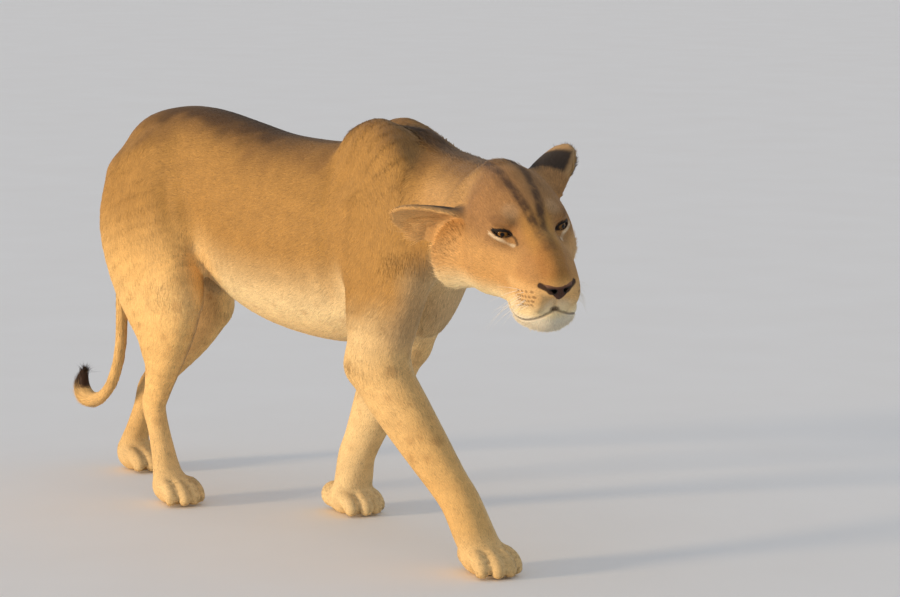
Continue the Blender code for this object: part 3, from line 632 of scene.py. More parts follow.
def makeSkin():
    cut = skinSettings["neckCut"]
    points, quads = levelSet(skinDistance, *skinSettings["bodyBox"], skinSettings["bodyStep"])
    corners = points[quads]
    ahead = (corners[..., 0] > cut).any(1) & (corners[..., 2].min(1) > skinSettings["neckLow"])
    body = keepFaces(points, quads, ~ahead)
    points, quads = levelSet(skinDistance, *skinSettings["headBox"], skinSettings["headStep"])
    corners = points[quads]
    head = keepFaces(points, quads, (corners[..., 0] > cut + skinSettings["neckGap"]).all(1))
    skin = meshPiece("skin", np.vstack([body[0], head[0]]), [np.vstack([body[1], head[1] + len(body[0])])])
    work = bmesh.new()
    work.from_mesh(skin.data)
    rim = [edge for edge in work.edges if edge.is_boundary]
    bmesh.ops.bridge_loops(work, edges=rim)
    bmesh.ops.recalc_face_normals(work, faces=work.faces)
    work.to_mesh(skin.data)
    work.free()
    print("skin", len(skin.data.vertices), "points before the face is refined")
    local = toHead(faceCentres(skin.data))
    nearEye = np.min([np.linalg.norm(local - np.array(eyeAt) * (1, side, 1), axis=1) for side in (-1, 1)], 0)
    fromMuzzle = np.linalg.norm(local - skinSettings["muzzle"], axis=1)
    muzzle = (local[:, 0] > 0.030) & (fromMuzzle < skinSettings["muzzleReach"])
    refineMesh(skin.data, muzzle | (nearEye < skinSettings["eyeReach"]))
    local = toHead(faceCentres(skin.data))
    nearSlit = np.zeros(len(local), bool)
    for side in (-1, 1):
        s, t, n = eyeCoordinates(local, side)
        nearSlit |= (np.abs(s) < 0.022) & (np.abs(t) < 0.013) & (n > 0.004) & (n < 0.030)
    refineMesh(skin.data, nearSlit)
    local = toHead(meshPoints(skin.data))
    everything = np.arange(len(local))
    settle(skin.data, everything, 3)
    face = np.flatnonzero((local[:, 0] > -0.06) & (np.abs(local) < 0.2).all(1))
    settle(skin.data, face, 3, even=0.3)
    return skin


skin = makeSkin()
triangles = sum(len(face.vertices) - 2 for face in skin.data.polygons)
print("skin", len(skin.data.vertices), "points,", triangles, "triangles")


# Colours and markings, shared by the skin and the coat.

coatColours = {
    "tawny": "#b28545", "back": "#7a5731", "saddleAndShade": "#3b2619", "belly": "#ffe6b2", "leg": "#e6ba76",
    "inner": "#ecce98", "chest": "#c8a678", "neck": "#c4985e", "crest": "#453023", "cream": "#f3e5c8",
    "cheek": "#cf9d5e", "forehead": "#a97c4b", "bridge": "#bb8947", "muzzleSide": "#8a5228",
    "whiskerPad": "#e2b577", "rim": "#1c1410", "lip": "#33211a", "underEye": "#e6cda6", "shade": "#6d4b2d",
    "earBack": "#2c221b", "earRim": "#c79c67", "earInside": "#eab673", "tailEnd": "#3f2a1c",
    "spot": "#9a6c3c", "thigh": "#f6c67c",
}
foreheadStripe = catmullRom(((-0.190, 0.020, 0.068), (-0.131, 0.0228, 0.0731), (-0.0535, 0.0211, 0.0650),
                             (-0.0159, 0.0174, 0.0534), (0.0112, 0.0129, 0.0384), (0.0328, 0.0080, 0.0218),
                             (0.0704, 0.0063, 0.0053), (0.1000, 0.0050, -0.0070)), 4)
tearLine = catmullRom(((0.0060, 0.0440, -0.0080), (0.0150, 0.0425, -0.0100), (0.026, 0.0410, -0.0130),
                       (0.0400, 0.0390, -0.0175)), 4)
underEye = catmullRom(((-0.0125, 0.0765, -0.0070), (-0.002, 0.0690, -0.0130), (0.0090, 0.0595, -0.0165),
                       (0.022, 0.0515, -0.0185), (0.0345, 0.0455, -0.0215)), 4)
whiskerRows = (  # first spot, last spot and how many
    ((0.126, 0.039, -0.079), (0.085, 0.058, -0.088), 4), ((0.131, 0.036, -0.088), (0.080, 0.058, -0.098), 6),
    ((0.127, 0.038, -0.097), (0.080, 0.057, -0.107), 6), ((0.122, 0.040, -0.106), (0.086, 0.056, -0.115), 5),
)


def rgb(code):  # sRGB hex to linear
    shown = np.array([int(code[i:i + 2], 16) / 255 for i in (1, 3, 5)])
    return np.where(shown <= 0.04045, shown / 12.92, ((shown + 0.055) / 1.055)**2.4)


def lay(colour, name, amount):  # cover the colours in place, wholly where amount is 1
    colour += (rgb(coatColours[name]) - colour) * np.clip(amount, 0, 1)[:, None]


def lattice(index, seed):  # three even random numbers for each cell of a grid, always the same
    mixed = (index * (73856093, 19349663, 83492791)).sum(-1).astype(np.int64) + seed * 2654435761
    out = []
    for salt in (1, 2, 3):
        h = (mixed ^ (mixed >> 13)) * 1274126177 + salt * 668265263
        h = (h ^ (h >> 16)) & 0xFFFFFF
        out.append(h / 0xFFFFFF)
    return np.stack(out, -1)


def cellSpots(points, spacing, radius, seed):  # 1 in round spots, one in each cell of a jittered grid
    base = np.floor(points / spacing).astype(np.int64)
    best = np.zeros(len(points))
    for offset in np.stack(np.meshgrid(*[(-1, 0, 1)] * 3, indexing="ij"), -1).reshape(-1, 3):
        cell = base + offset
        jitter = lattice(cell, seed)
        far = np.linalg.norm((cell + 0.15 + 0.7 * jitter) * spacing - points, axis=1)
        size = radius * (0.55 + 0.75 * jitter[:, 0])
        best = np.maximum(best, ramp(far, size, 0.55 * size))
    return best


def waves(points, scale, seed):  # smooth noise from -1 to 1: a sum of sines across turned directions
    random = np.random.default_rng(seed)
    total = np.zeros(len(points))
    for octave in (1.0, 1.7, 2.9):
        way = unit(random.normal(size=(3, 3)))
        phase = random.uniform(0, 6.28, 3)
        total += np.sin(points @ way.T * octave / scale + phase).prod(1) / octave**0.5
    return total


def pathWeight(points, path, width, soft):  # 1 within width of a bent line, 0 beyond width + soft
    low, high = path.min(0) - width - soft, path.max(0) + width + soft
    near = np.flatnonzero(((points > low) & (points < high)).all(1))
    weight = np.zeros(len(points))
    if len(near):
        weight[near] = ramp(pathDistance(points[near], path)[0], width + soft, width)
    return weight


def spotWeight(points, centre, shape, edge, full):  # 1 within full of a centre, 0 beyond edge, times shape
    return ramp(np.linalg.norm((points - centre) / shape, axis=1), edge, full)


tailPath = catmullRom([centre for centre, r in tailRows], 3)
# how far the backbone lies to her left, by place along her
spineSides = ((0.40, 0.50, 0.60, 0.69, 0.765, 0.85), (0, -0.012, -0.045, -0.092, -0.135, -0.175))


def coatColour(points, normals):
    # Each mark is a product of ramps over place and slope, laid on from the widest to the finest.
    local = toHead(points)
    x, y, z = points.T
    up = normals[:, 2]
    mottle = waves(points, 0.030, 3)
    colour = np.tile(rgb(coatColours["tawny"]), (len(points), 1))
    # darker, greyer back: partly the coat's own colour, partly painted shade on the surfaces that face up;
    # paler underside and low flank
    lay(colour, "back", 0.75 * ramp(up + 0.10 * mottle, 0.35, 0.95) * ramp(z, 0.55, 0.70))
    trunk = ramp(x, -0.60, -0.45) * ramp(x, 0.62, 0.42)
    low = ramp(z + 0.012 * mottle, 0.545, 0.435) * trunk
    lay(colour, "belly", 0.85 * np.maximum(low * ramp(z, 0.70, 0.30), ramp(up, 0.0, -0.6) * trunk))
    # legs: paler, palest inside the forelegs; painted light on the outside of the hind thighs, painted shade
    # on the inner sides of the hind legs
    leg = ramp(z, 0.50, 0.36)
    hind = ramp(x, -0.10, -0.22)
    middle = np.where(x > 0.3, 0.01 * (y > 0) - 0.02, 0.0)
    inside = ramp(normals[:, 1] * np.sign(y - middle), -0.1, -0.8) * ramp(z, 0.60, 0.42)
    lay(colour, "leg", 0.8 * leg)
    # on the hind legs the pale inner colour is mostly left out, to go with the painted shade there
    lay(colour, "inner", 0.75 * inside * (1 - 0.8 * hind))
    lay(colour, "inner", 0.45 * ramp(z, 0.10, 0.03))
    # painted light: the outside of the hind thighs brightened, as where the low light strikes them
    lay(colour, "thigh", 0.75 * hind * (1 - inside) * ramp(z, 0.66, 0.50) * ramp(z, 0.10, 0.26))
    # painted shade: the inner sides of the hind legs darkened, as if in the shadow of the near leg
    lay(colour, "shade", 0.55 * hind * inside * ramp(z, 0.16, 0.28))
    # dark saddle, partly dark hair and partly painted shade on the top of the back; and the dark line from
    # the loins to the crown
    away = np.abs(y - np.interp(x, *spineSides))
    saddleAndShade = ramp(away + 0.020 * mottle, 0.085, 0.030) * ramp(x, -0.50, -0.36) * ramp(x, 0.16, -0.08)
    lay(colour, "saddleAndShade", 0.78 * saddleAndShade * ramp(up, 0.30, 0.75))
    # the dark line along the top: partly dark hair, partly painted shade on the crest's upper side
    dorsal = ramp(away + 0.005 * mottle, 0.028, 0.010) * ramp(up, 0.2, 0.7) * ramp(z, 0.66, 0.74)
    lay(colour, "crest", 0.72 * dorsal * (1 - ramp(local[:, 0], -0.22, -0.12)))
    # breast, throat and sides of the neck
    front = ramp(normals[:, 0], 0.25, 0.85) * ramp(x, 0.36, 0.46)
    lay(colour, "chest", 0.7 * front * ramp(z, 0.66, 0.56) * ramp(z, 0.40, 0.46))
    lay(colour, "inner", 0.6 * ramp(up, -0.1, -0.8) * ramp(x, 0.42, 0.52) * ramp(z, 0.48, 0.55))
    lay(colour, "neck", ramp(x, 0.48, 0.58) * ramp(z, 0.64, 0.70) * ramp(up, 0.85, 0.35))
    # faint spots of youth and broken bars on the legs
    marks = cellSpots(points * (1, 1, 1.15), 0.046, 0.014, 5)
    lay(colour, "spot", 0.30 * marks * np.clip(leg + low, 0, 1) * ramp(z, 0.06, 0.14) * (x < 0.62))
    bars = 0.5 + 0.5 * np.sin(z * 125 + 9 * x)
    lay(colour, "spot", 0.07 * ramp(bars, 0.62, 1.0) * leg * ramp(z, 0.08, 0.16))
    # tail: as the legs, with a dark end
    far, share = pathDistance(points, tailPath)
    onTail = ramp(far, 0.050, 0.032) * ramp(x, -0.52, -0.60)
    lay(colour, "leg", 0.7 * onTail)
    lay(colour, "tailEnd", onTail * ramp(share, 0.80, 0.90))
    near = np.flatnonzero((np.abs(local - (-0.06, 0, -0.04)) < (0.26, 0.30, 0.20)).all(1))
    if len(near):
        colour[near] = headColour(colour[near], points[near], local[near])
    return colour


def headColour(colour, points, local):
    folded = symmetric(local)
    x, y, z = folded.T
    # crown, cheeks, bridge and muzzle
    face = ramp(x, -0.20, -0.10)
    lay(colour, "forehead", face)
    lay(colour, "cheek", face * ramp(z, 0.0, -0.05))
    lay(colour, "bridge", ramp(x, -0.01, 0.04) * ramp(y, 0.040, 0.022) * ramp(z, -0.075, -0.045))
    side = ramp(x, 0.055, 0.085) * ramp(y, 0.016, 0.028) * ramp(z, -0.074, -0.050) * ramp(z, -0.014, -0.030)
    lay(colour, "muzzleSide", 0.30 * side)
    lay(colour, "muzzleSide", 0.36 * ramp(x, 0.070, 0.105) * ramp(z, -0.060, -0.042) * ramp(y, 0.03, 0.02))
    lay(colour, "whiskerPad", 0.85 * ramp(x, 0.030, 0.062) * ramp(z, -0.062, -0.080))
    lay(colour, "cream", 0.6 * ramp(x, 0.085, 0.125) * ramp(z, -0.088, -0.112) * ramp(y, 0.035, 0.012))
    # pale jaw, white chin
    lay(colour, "belly", 0.80 * ramp(z, -0.088, -0.135) * ramp(x, -0.19, -0.12))
    chin = ramp(z + 0.10 * np.maximum(0.06 - x, 0), -0.128, -0.140) * ramp(x, 0.02, 0.05)
    lay(colour, "cream", 0.95 * chin)
    # round the eye: a paler brow, shade beyond it and under the eye, and the pale line below the lid
    lay(colour, "underEye", 0.14 * spotWeight(folded, (0.000, 0.040, 0.034), (1.6, 1.0, 0.9), 0.021, 0.008))
    lay(colour, "shade", 0.45 * spotWeight(folded, (0.000, 0.066, 0.018), (1.7, 1.2, 0.8), 0.020, 0.006))
    lay(colour, "shade", 0.30 * pathWeight(folded, underEye - (0.0, 0.0, 0.0115), 0.003, 0.012))
    lay(colour, "underEye", 0.85 * pathWeight(folded, underEye, 0.0012, 0.0040))
    # forehead stripes and fine flecks on the crown
    stripe = pathWeight(folded, foreheadStripe, 0.0030, 0.0110) * (1 - 0.55 * ramp(x, 0.025, 0.085))
    ragged = np.clip(0.86 + 0.40 * waves(points, 0.006, 12), 0, 1)
    lay(colour, "crest", 0.88 * stripe * ragged)
    lay(colour, "shade", 0.16 * face * ramp(z, 0.0, 0.05) * (1 - ragged))
    crown = ramp(np.abs(y - 0.036 - 0.05 * (x + 0.08)), 0.009, 0.002) * ramp(x, -0.03, -0.06)
    lay(colour, "shade", 0.30 * crown * ramp(z, 0.045, 0.06))
    # eye rims, tear line, lips
    half = lidSettings["halfLength"]
    for sign in (-1, 1):
        s, t, n = eyeCoordinates(local, sign)
        above = t > slitEdges(s)[0]
        rim = slitHeight(s, t)
        rim = np.where(np.abs(s) > half, np.hypot(rim.clip(0), np.abs(s) - half), rim)
        # the dark rim is wider above the slit: dark lid skin and lashes, with painted shade of the
        # overhanging lid
        dark = ramp(rim, 0.0036 + 0.0030 * above, 0.0014 + 0.0020 * above)
        lay(colour, "rim", dark * (n > 0.002) * (n < 0.034) * (np.abs(s) < 0.028))
    flat = np.array((1, 0.15, 1))  # the line shows whatever its place across the side of the nose
    lay(colour, "rim", 0.70 * pathWeight(folded * flat, tearLine * flat, 0.0005, 0.0030) * (y > 0.02))
    lay(colour, "lip", 0.92 * pathWeight(folded, mouthLine, 0.0014, 0.0024))
    lay(colour, "lip", 0.85 * pathWeight(local, philtrum, 0.0010, 0.0022))
    lay(colour, "lip", 0.85 * spotWeight(folded, philtrum[-1], (1, 1.5, 0.7), 0.0085, 0.0035))
    for first, last, count in whiskerRows:
        for spot in np.linspace(first, last, count):
            dot = spotWeight(folded, spot, (1.4, 40.0, 1), 0.0036, 0.0018)
            lay(colour, "shade", 0.62 * dot * (y > 0.018))
    # painted shade: the skin in and round the nostrils darkened, as shade falls inside them
    lay(colour, "lip", 0.97 * (x > 0.10) * ramp(nostrilDistance(folded), 0.0045, 0.0020))
    # ears: pale inside, dark behind with a pale rim
    for side in ears:
        v, u, height = earCoordinates(local, side)
        on = ramp(v, 0.12, 0.30) * (v < 1.1) * (np.abs(u) < 1.25) * ramp(np.abs(height), 0.020, 0.014)
        inside = ramp(height, -0.0005, 0.0015)
        lay(colour, "earInside", on * inside)
        # painted shade: darker deep in the hollow, towards its root
        lay(colour, "shade", 0.25 * on * inside * ramp(np.hypot(v - 0.15, 0.6 * u), 0.45, 0.15))
        lay(colour, "earRim", on * (1 - inside))
        middle = ramp(np.abs(u), 1.02, 0.86) * ramp(v, 0.84, 0.68)
        # the right ear's lower edge lies on the ruff
        leaning = (side == "right") * ramp(u, 0.2, 0.6) * ramp(v, 0.72, 0.55)
        lay(colour, "earBack", on * (1 - inside) * middle * (1 - leaning))
        lay(colour, "earInside", on * leaning)
    return colour


def addColour(mesh, colour):  # linear colours at the vertices, read by the materials
    layer = mesh.attributes.new("coatColour", "FLOAT_COLOR", "POINT")
    full = np.column_stack([colour, np.ones(len(colour))])
    layer.data.foreach_set("color", full.astype(np.float32).ravel())


def colour4(code):
    return (*rgb(code), 1.0)


def newMaterial(name, values):  # values: the shader's inputs that are fixed
    material = bpy.data.materials.new(name)
    material.use_nodes = True
    shader = material.node_tree.nodes["Principled BSDF"]
    for key, value in values.items():
        shader.inputs[key].default_value = value
    return material, shader


def wire(source, target):
    source.id_data.links.new(source, target)


def addNode(material, kind, inputs, **settings):  # inputs: socket name or number to a value or a socket
    node = material.node_tree.nodes.new("ShaderNode" + kind)
    for key, value in settings.items():
        setattr(node, key, value)
    for key, value in inputs.items():
        if isinstance(value, bpy.types.NodeSocket):
            wire(value, node.inputs[key])
        else:
            node.inputs[key].default_value = value
    return node


def furMaterial(name, speckle, grain, depth, roughness, sheen):
    # lion's hair: each is banded buff and brown, so the coat is finely grained and never glossy
    material, shader = newMaterial(name, {
        "Roughness": roughness, "Specular IOR Level": 0.25,
        "Sheen Weight": sheen, "Sheen Roughness": 0.45, "Sheen Tint": colour4("#ffe2b8")})
    where = addNode(material, "TexCoord", {}).outputs["Object"]
    colour = addNode(material, "Attribute", {}, attribute_name="coatColour").outputs["Color"]
    fine = addNode(material, "TexNoise", {"Vector": where, "Scale": grain, "Detail": 3.0, "Roughness": 0.65})
    wide = addNode(material, "TexNoise", {"Vector": where, "Scale": 28.0, "Detail": 2.0})
    tones = []
    for noise, change in ((fine, speckle), (wide, 0.07)):
        tones.append(addNode(material, "MapRange", {
            "Value": noise.outputs["Fac"], "From Min": 0.30, "From Max": 0.70,
            "To Min": 1.0 - change, "To Max": 1.0 + change}).outputs[0])
    both = addNode(material, "Math", {0: tones[0], 1: tones[1]}, operation="MULTIPLY")
    tinted = addNode(material, "VectorMath", {0: colour, "Scale": both.outputs[0]}, operation="SCALE")
    wire(tinted.outputs[0], shader.inputs["Base Color"])
    bump = addNode(material, "Bump", {"Height": fine.outputs["Fac"], "Distance": depth, "Strength": 0.8})
    wire(bump.outputs[0], shader.inputs["Normal"])
    return material


underfur = furMaterial("short tawny lion underfur", 0.16, 420.0, 0.0009, 0.85, 0.10)
guardHair = furMaterial("lion guard hair", 0.10, 300.0, 0.0002, 0.62, 0.12)

addColour(skin.data, coatColour(meshPoints(skin.data), vertexNormals(skin.data)))
flesh = [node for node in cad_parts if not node.startswith(("eye", "nose"))]
finishPiece(skin, underfur, "fur", *flesh)
print("skin coloured")


grainLines = [  # bent lines that the hair follows from their first point, and the body's radius round them
    (((0.46, 0.0, 0.66), (0.20, 0.0, 0.62), (-0.10, 0.0, 0.64), (-0.35, 0.0, 0.70), (-0.52, 0.0, 0.70)),
     0.15),
    (((0.88, -0.185, 0.70), (0.765, -0.135, 0.708), (0.600, -0.045, 0.705), (0.44, 0.0, 0.68)), 0.10),
    (((0.70, -0.10, 0.62), (0.56, -0.03, 0.60), (0.47, 0.0, 0.52), (0.42, 0.0, 0.42)), 0.05),
    (tuple(centre for centre, r in tailRows[1:]), 0.020),
]
for leg, places in joints.items():
    lead = (bladeTops[leg],) if leg in bladeTops else ((places[0][0] - 0.02, places[0][1], 0.80),)
    ahead = np.array(places[-1]) + (0.08, 0.0, -0.02)
    grainLines.append(((*lead, *places, tuple(ahead)), 0.055))


def flowAt(points, normals):  # unit vectors along the skin in which the hair lies
    way = np.zeros_like(points)
    for path, radius in grainLines:
        offset, along = fromStretches(points, catmullRom(path, 3))[::2]
        weight = 1 / np.maximum(np.linalg.norm(offset, axis=2) - 0.6 * radius, 0.012)**3
        way += weight @ unit(along)
    way = unit(way)
    trunk = ramp(points[:, 0], -0.42, -0.30) * ramp(points[:, 0], 0.44, 0.34) * ramp(points[:, 2], 0.42, 0.52)
    way[:, 2] -= 0.45 * trunk * (1 - np.abs(normals[:, 2]))
    local = toHead(points)
    onHead = headShare(points, local, -0.21, -0.13)
    fromNose = local - (0.150, 0.0, -0.070)
    fromNose[:, 2] += 0.02 * ramp(local[:, 2], -0.04, -0.10)
    way = unit(way * (1 - onHead)[:, None] + unit(fromNose) @ headAxes.T * onHead[:, None])
    for side in ears:
        v, u, height = earCoordinates(local, side)
        on = ramp(v, 0.05, 0.30) * (v < 1.2) * (np.abs(u) < 1.4) * ramp(np.abs(height), 0.030, 0.018)
        along, across = earFrame(side)[2:4]
        spread = along + 0.35 * u[:, None] * across
        way = way * (1 - on)[:, None] + unit(spread) @ headAxes.T * on[:, None]
    swirl = np.column_stack([waves(points, 0.045, seed) for seed in (21, 22, 23)])
    way = way + 0.16 * swirl
    return unit(way - (way * normals).sum(1)[:, None] * normals)


class SkinSampler:
    def __init__(self, mesh):
        mesh.calc_loop_triangles()
        self.corners = readRows(mesh.loop_triangles, "vertices", 3, np.int32)
        self.points, self.normals = meshPoints(mesh), vertexNormals(mesh)
        a, b, c = (self.points[self.corners[:, i]] for i in range(3))
        self.areas = 0.5 * np.linalg.norm(np.cross(b - a, c - a), axis=1)
        self.centres = (a + b + c) / 3
        self.faceNormals = unit(self.normals[self.corners].sum(1))
        self.local = toHead(self.centres)
        self.earSheet = {side: earCoordinates(self.local, side) for side in ears}

    def roots(self, weight, count, seed):  # count places on the skin, as dense as weight says
        random = np.random.default_rng(seed)
        total = np.cumsum(self.areas * weight)
        pick = np.searchsorted(total, (np.arange(count) + random.random(count)) / count * total[-1])
        pick = np.minimum(pick, len(total) - 1)
        share = random.dirichlet((1, 1, 1), count)
        corners = self.corners[pick]
        points = (self.points[corners] * share[..., None]).sum(1)
        normals = unit((self.normals[corners] * share[..., None]).sum(1))
        return points, normals


sampler = SkinSampler(skin.data)


def unwrap(points, region):  # the skin of one region rolled out: angle round its axis, way along it
    if region == "head":
        local = toHead(points) - (0, 0, -0.05)
        return np.arctan2(local[:, 1], -local[:, 2]) / (2 * math.pi) + 0.5, (local[:, 0] + 0.30) / 0.50
    if region.startswith("ear"):
        v, u, height = earCoordinates(toHead(points), region[4:])
        return 0.25 + 0.2 * np.clip(u, -1.2, 1.2) + 0.5 * (height > 0), np.clip(0.5 * v + 0.2, 0, 1)
    path = unwrapPaths[region]
    share = pathDistance(points, path)[1]
    at = np.stack([np.interp(share, np.linspace(0, 1, len(path)), path[:, i]) for i in range(3)], 1)
    axis = unit(path[-1] - path[0])
    first = unit(np.cross(axis, (0, 1, 0.02)))
    second = np.cross(axis, first)
    offset = points - at
    return np.arctan2(offset @ second, offset @ first) / (2 * math.pi) + 0.5, share


unwrapPaths = {
    "trunk": np.array(((0.46, 0.0, 0.62), (-0.54, 0.0, 0.62))),
    "neck": np.array(((0.44, 0.0, 0.70), (0.60, -0.045, 0.70), (0.85, -0.175, 0.70))),
    "tail": tailPath,
    **{leg: np.array(((places[0][0], places[0][1], 0.60), *places[1:], places[-1][:2] + (0.0,)))
       for leg, places in joints.items()},
}


tuftSettings = {"lengthSpread": 0.20, "widthSpread": 0.15, "thickness": 0.30, "sunk": 0.35,
                "tipTone": 1.10, "skinShading": 0.80, "halfPatch": 0.0015}


def tuftMesh(name, region, roots, normals, length, width, lift, colour, settings, seed):
    # A tuft is a thin three-sided horn lying on the skin: three corners at its root, with bent ones three
    # more past its middle, and a point. Its direction is the lie of the coat, turned up by lift at the root
    # and flattening towards the tip.
    random = np.random.default_rng(seed)
    count = len(roots)
    flow = flowAt(roots, normals)
    side = np.cross(normals, flow)
    flow = unit(flow + settings["stray"] * random.normal(size=count)[:, None] * side)
    side = unit(np.cross(normals, flow))
    length = length * np.exp(tuftSettings["lengthSpread"] * random.normal(size=count))
    width = width * np.exp(tuftSettings["widthSpread"] * random.normal(size=count))
    lift = lift * (0.6 + 0.8 * random.random(count))
    thick = tuftSettings["thickness"] * width
    bent = settings["bent"]
    rows = [(0.0, 1.0), (0.5, 0.85)] if bent else [(0.0, 1.0)]  # share of the length, share of the width
    points = []
    at = roots - normals * (tuftSettings["sunk"] * thick)[:, None]
    last = 0.0
    for along, wide in rows + [(1.0, 0.0)]:
        angle = lift * (1.25 - 0.75 * along)
        step = (along - last) * length
        at = at + step[:, None] * (flow * np.cos(angle)[:, None] + normals * np.sin(angle)[:, None])
        last = along
        across = side * (0.5 * wide * width)[:, None]
        points += [at - across, at + across, at + normals * (wide * thick)[:, None]] if wide else [at]
    ring = 3 * len(rows)
    base = np.arange(count)[:, None, None] * (ring + 1)
    around = ((0, 1), (1, 2), (2, 0))
    threes = [(ring - 3 + a, ring - 3 + b, ring) for a, b in around] + [(2, 1, 0)]
    faceSets = [(base + np.array(threes)).reshape(-1, 3)]
    if bent:
        faceSets.insert(0, (base + np.array([(a, b, b + 3, a + 3) for a, b in around])).reshape(-1, 4))
    piece = meshPiece(name, np.stack(points, 1).reshape(-1, 3), faceSets)
    # hair is paler at its tip and darker at its root
    tips = np.repeat(np.linspace(settings["rootTone"], 1.0, len(rows) + 1)[:-1], 3)
    tips = np.append(tips, tuftSettings["tipTone"])
    tone = (1 + settings["vary"] * random.normal(size=count))[:, None] * tips
    addColour(piece.data, np.clip(colour[:, None, :] * tone[..., None], 0, 1).reshape(-1, 3))
    # each tuft is a small patch at its root's place on the rolled-out skin
    corner = np.column_stack([np.clip(place, 0.01, 0.99) for place in unwrap(roots, region)])
    ways = [(-1, -1), (1, -1), (0, -0.6), (-1, 0.3), (1, 0.3), (0, 0.5), (0, 1)] if bent \
        else [(-1, -1), (1, -1), (0, 0), (0, 1)]
    patch = corner[:, None, :] + np.array(ways) * tuftSettings["halfPatch"]
    addUv(piece.data, "OFBake", patch.reshape(-1, 2))
    # shaded mostly as the skin beneath it, as a dense coat is
    share = tuftSettings["skinShading"]
    shading = share * np.repeat(normals, ring + 1, axis=0) + (1 - share) * vertexNormals(piece.data)
    piece.data.normals_split_custom_set_from_vertices(unit(shading + 1e-9).tolist())
    finishPiece(piece, guardHair, settings["slot"])


def coatMasks(places, local):  # where each kind of hair grows: share from 0 to 1
    x, y, z = places.T
    folded = symmetric(local)
    onHead = headShare(places, local, -0.19, -0.16)
    ear = np.zeros(len(x))
    for side in ears:
        v, u, height = earCoordinates(local, side)
        ear = np.maximum(ear, (v > 0.22) * (v < 1.15) * (np.abs(u) < 1.35) * (np.abs(height) < 0.013))
    bare = np.linalg.norm((folded - (0.146, 0.0, -0.077)) / (1.0, 1.5, 1.0), axis=1) > 0.0215  # off the nose
    bare = bare * (z > 0.006)
    for side in (-1, 1):
        s, t, n = eyeCoordinates(local, side)
        bare = bare * ((slitHeight(s, t) > 0.0016) | (np.abs(s) > 0.0185) | (n < 0))
    front = np.flatnonzero((local[:, 0] > 0.02) & (local[:, 2] < -0.05))
    bare[front] *= pathDistance(folded[front], mouthLine)[0] > 0.0036
    bare[front] *= nostrilDistance(folded[front]) > 0.003
    tail = ramp(x, -0.53, -0.56) * (np.abs(y) < 0.055) * (z > 0.13)
    tail *= pathDistance(places, tailPath)[0] < 0.05
    return {"head": onHead * (1 - ear) * bare, "ear": ear, "tail": tail,
            "body": (1 - onHead) * (1 - tail) * bare * (1 - ear)}


def growCoat(name, region, weight, settings, seed):  # length, width and lift are numbers or functions
    count = settings["count"]
    roots, normals = sampler.roots(weight, count, seed)
    local = toHead(roots)
    sizes = []
    for key in ("length", "width", "lift"):
        value = settings[key]
        sizes.append(value(roots, normals, local) if callable(value) else np.full(count, value))
    colour = coatColour(roots, normals)
    tuftMesh(name, region, roots, normals, *sizes, colour, settings, seed + 1000)
    print(name, count, "tufts")


def bodyLength(roots, normals, local):  # longer under the belly, on breast and throat, shorter on the legs
    x, z = roots[:, 0], roots[:, 2]
    length = 0.0125 - 0.0040 * ramp(z, 0.45, 0.20) - 0.002 * ramp(z, 0.10, 0.04)
    length += 0.007 * ramp(normals[:, 2], -0.3, -0.9) * ramp(z, 0.36, 0.42)
    length += 0.005 * ramp(x, 0.42, 0.50) * ramp(z, 0.42, 0.50)
    return length


def bodyWidth(roots, normals, local):
    return 0.0023 - 0.0007 * ramp(roots[:, 2], 0.42, 0.12)


masks = coatMasks(sampler.centres, sampler.local)
sx, sy, sz = sampler.centres.T
hx, hy, hz = sampler.local.T
bodySettings = {"count": 33000, "length": bodyLength, "width": bodyWidth, "lift": 0.06, "slot": "fur",
                "vary": 0.12, "stray": 0.16, "bent": False, "rootTone": 0.86}
legSettings = {**bodySettings, "count": 16500, "slot": "fur_pale", "lift": 0.055}
tailSettings = {
    **bodySettings, "count": 7500, "lift": 0.07, "vary": 0.10, "bent": True,
    "length": lambda roots, normals, local: 0.013 + 0.011 * ramp(roots[:, 0], -0.70, -0.78),
    "width": lambda roots, normals, local: 0.0022 - 0.0008 * ramp(roots[:, 0], -0.70, -0.78)}

legAway = np.array([pathDistance(sampler.centres, np.array(places))[0] for places in joints.values()])
nearestLeg = np.array(list(joints))[legAway.argmin(0)]
legPart = masks["body"] * (sz < 0.43) * (legAway.min(0) < 0.13)
trunkPart = masks["body"] * (legPart == 0)
trunkCuts = (-0.70, -0.30, -0.05, 0.20, 0.44)  # the trunk's coat is in four pieces, the neck's lies beyond
for number in range(4):
    here = (sx >= trunkCuts[number]) * (sx < trunkCuts[number + 1])
    growCoat(f"coat_trunk_{number + 1}", "trunk", trunkPart * here, bodySettings, 11 + number)
growCoat("coat_neck", "neck", trunkPart * (sx >= trunkCuts[4]), bodySettings, 21)
for number, leg in enumerate(joints):
    growCoat("coat_" + leg, leg, legPart * (nearestLeg == leg), legSettings, 31 + number)
growCoat("coat_tail", "tail", masks["tail"] * (1 + 7 * (sx < -0.72)), tailSettings, 41)

# longer hair: the crest of the neck and withers, the ruff behind the cheeks, and the chin
longSettings = {**bodySettings, "bent": True, "slot": "fur_pale"}
crestSettings = {**longSettings, "count": 4500, "length": 0.021, "width": 0.0018, "lift": 0.20, "vary": 0.16,
                 "slot": "fur_dark"}
ruffSettings = {**longSettings, "count": 9000, "length": 0.025, "width": 0.0014, "lift": 0.12, "stray": 0.2,
                "rootTone": 0.94}
chinSettings = {**longSettings, "count": 2600, "length": 0.012, "width": 0.0011, "lift": 0.30, "vary": 0.06,
                "stray": 0.3}
crest = ramp(np.abs(sy - np.interp(sx, *spineSides)), 0.034, 0.012)
crest *= ramp(sampler.faceNormals[:, 2], 0.3, 0.8)
crest *= ramp(sx, 0.22, 0.32) * ramp(hx, -0.13, -0.17) * ramp(sz, 0.70, 0.74)
growCoat("coat_crest", "neck", crest, crestSettings, 71)
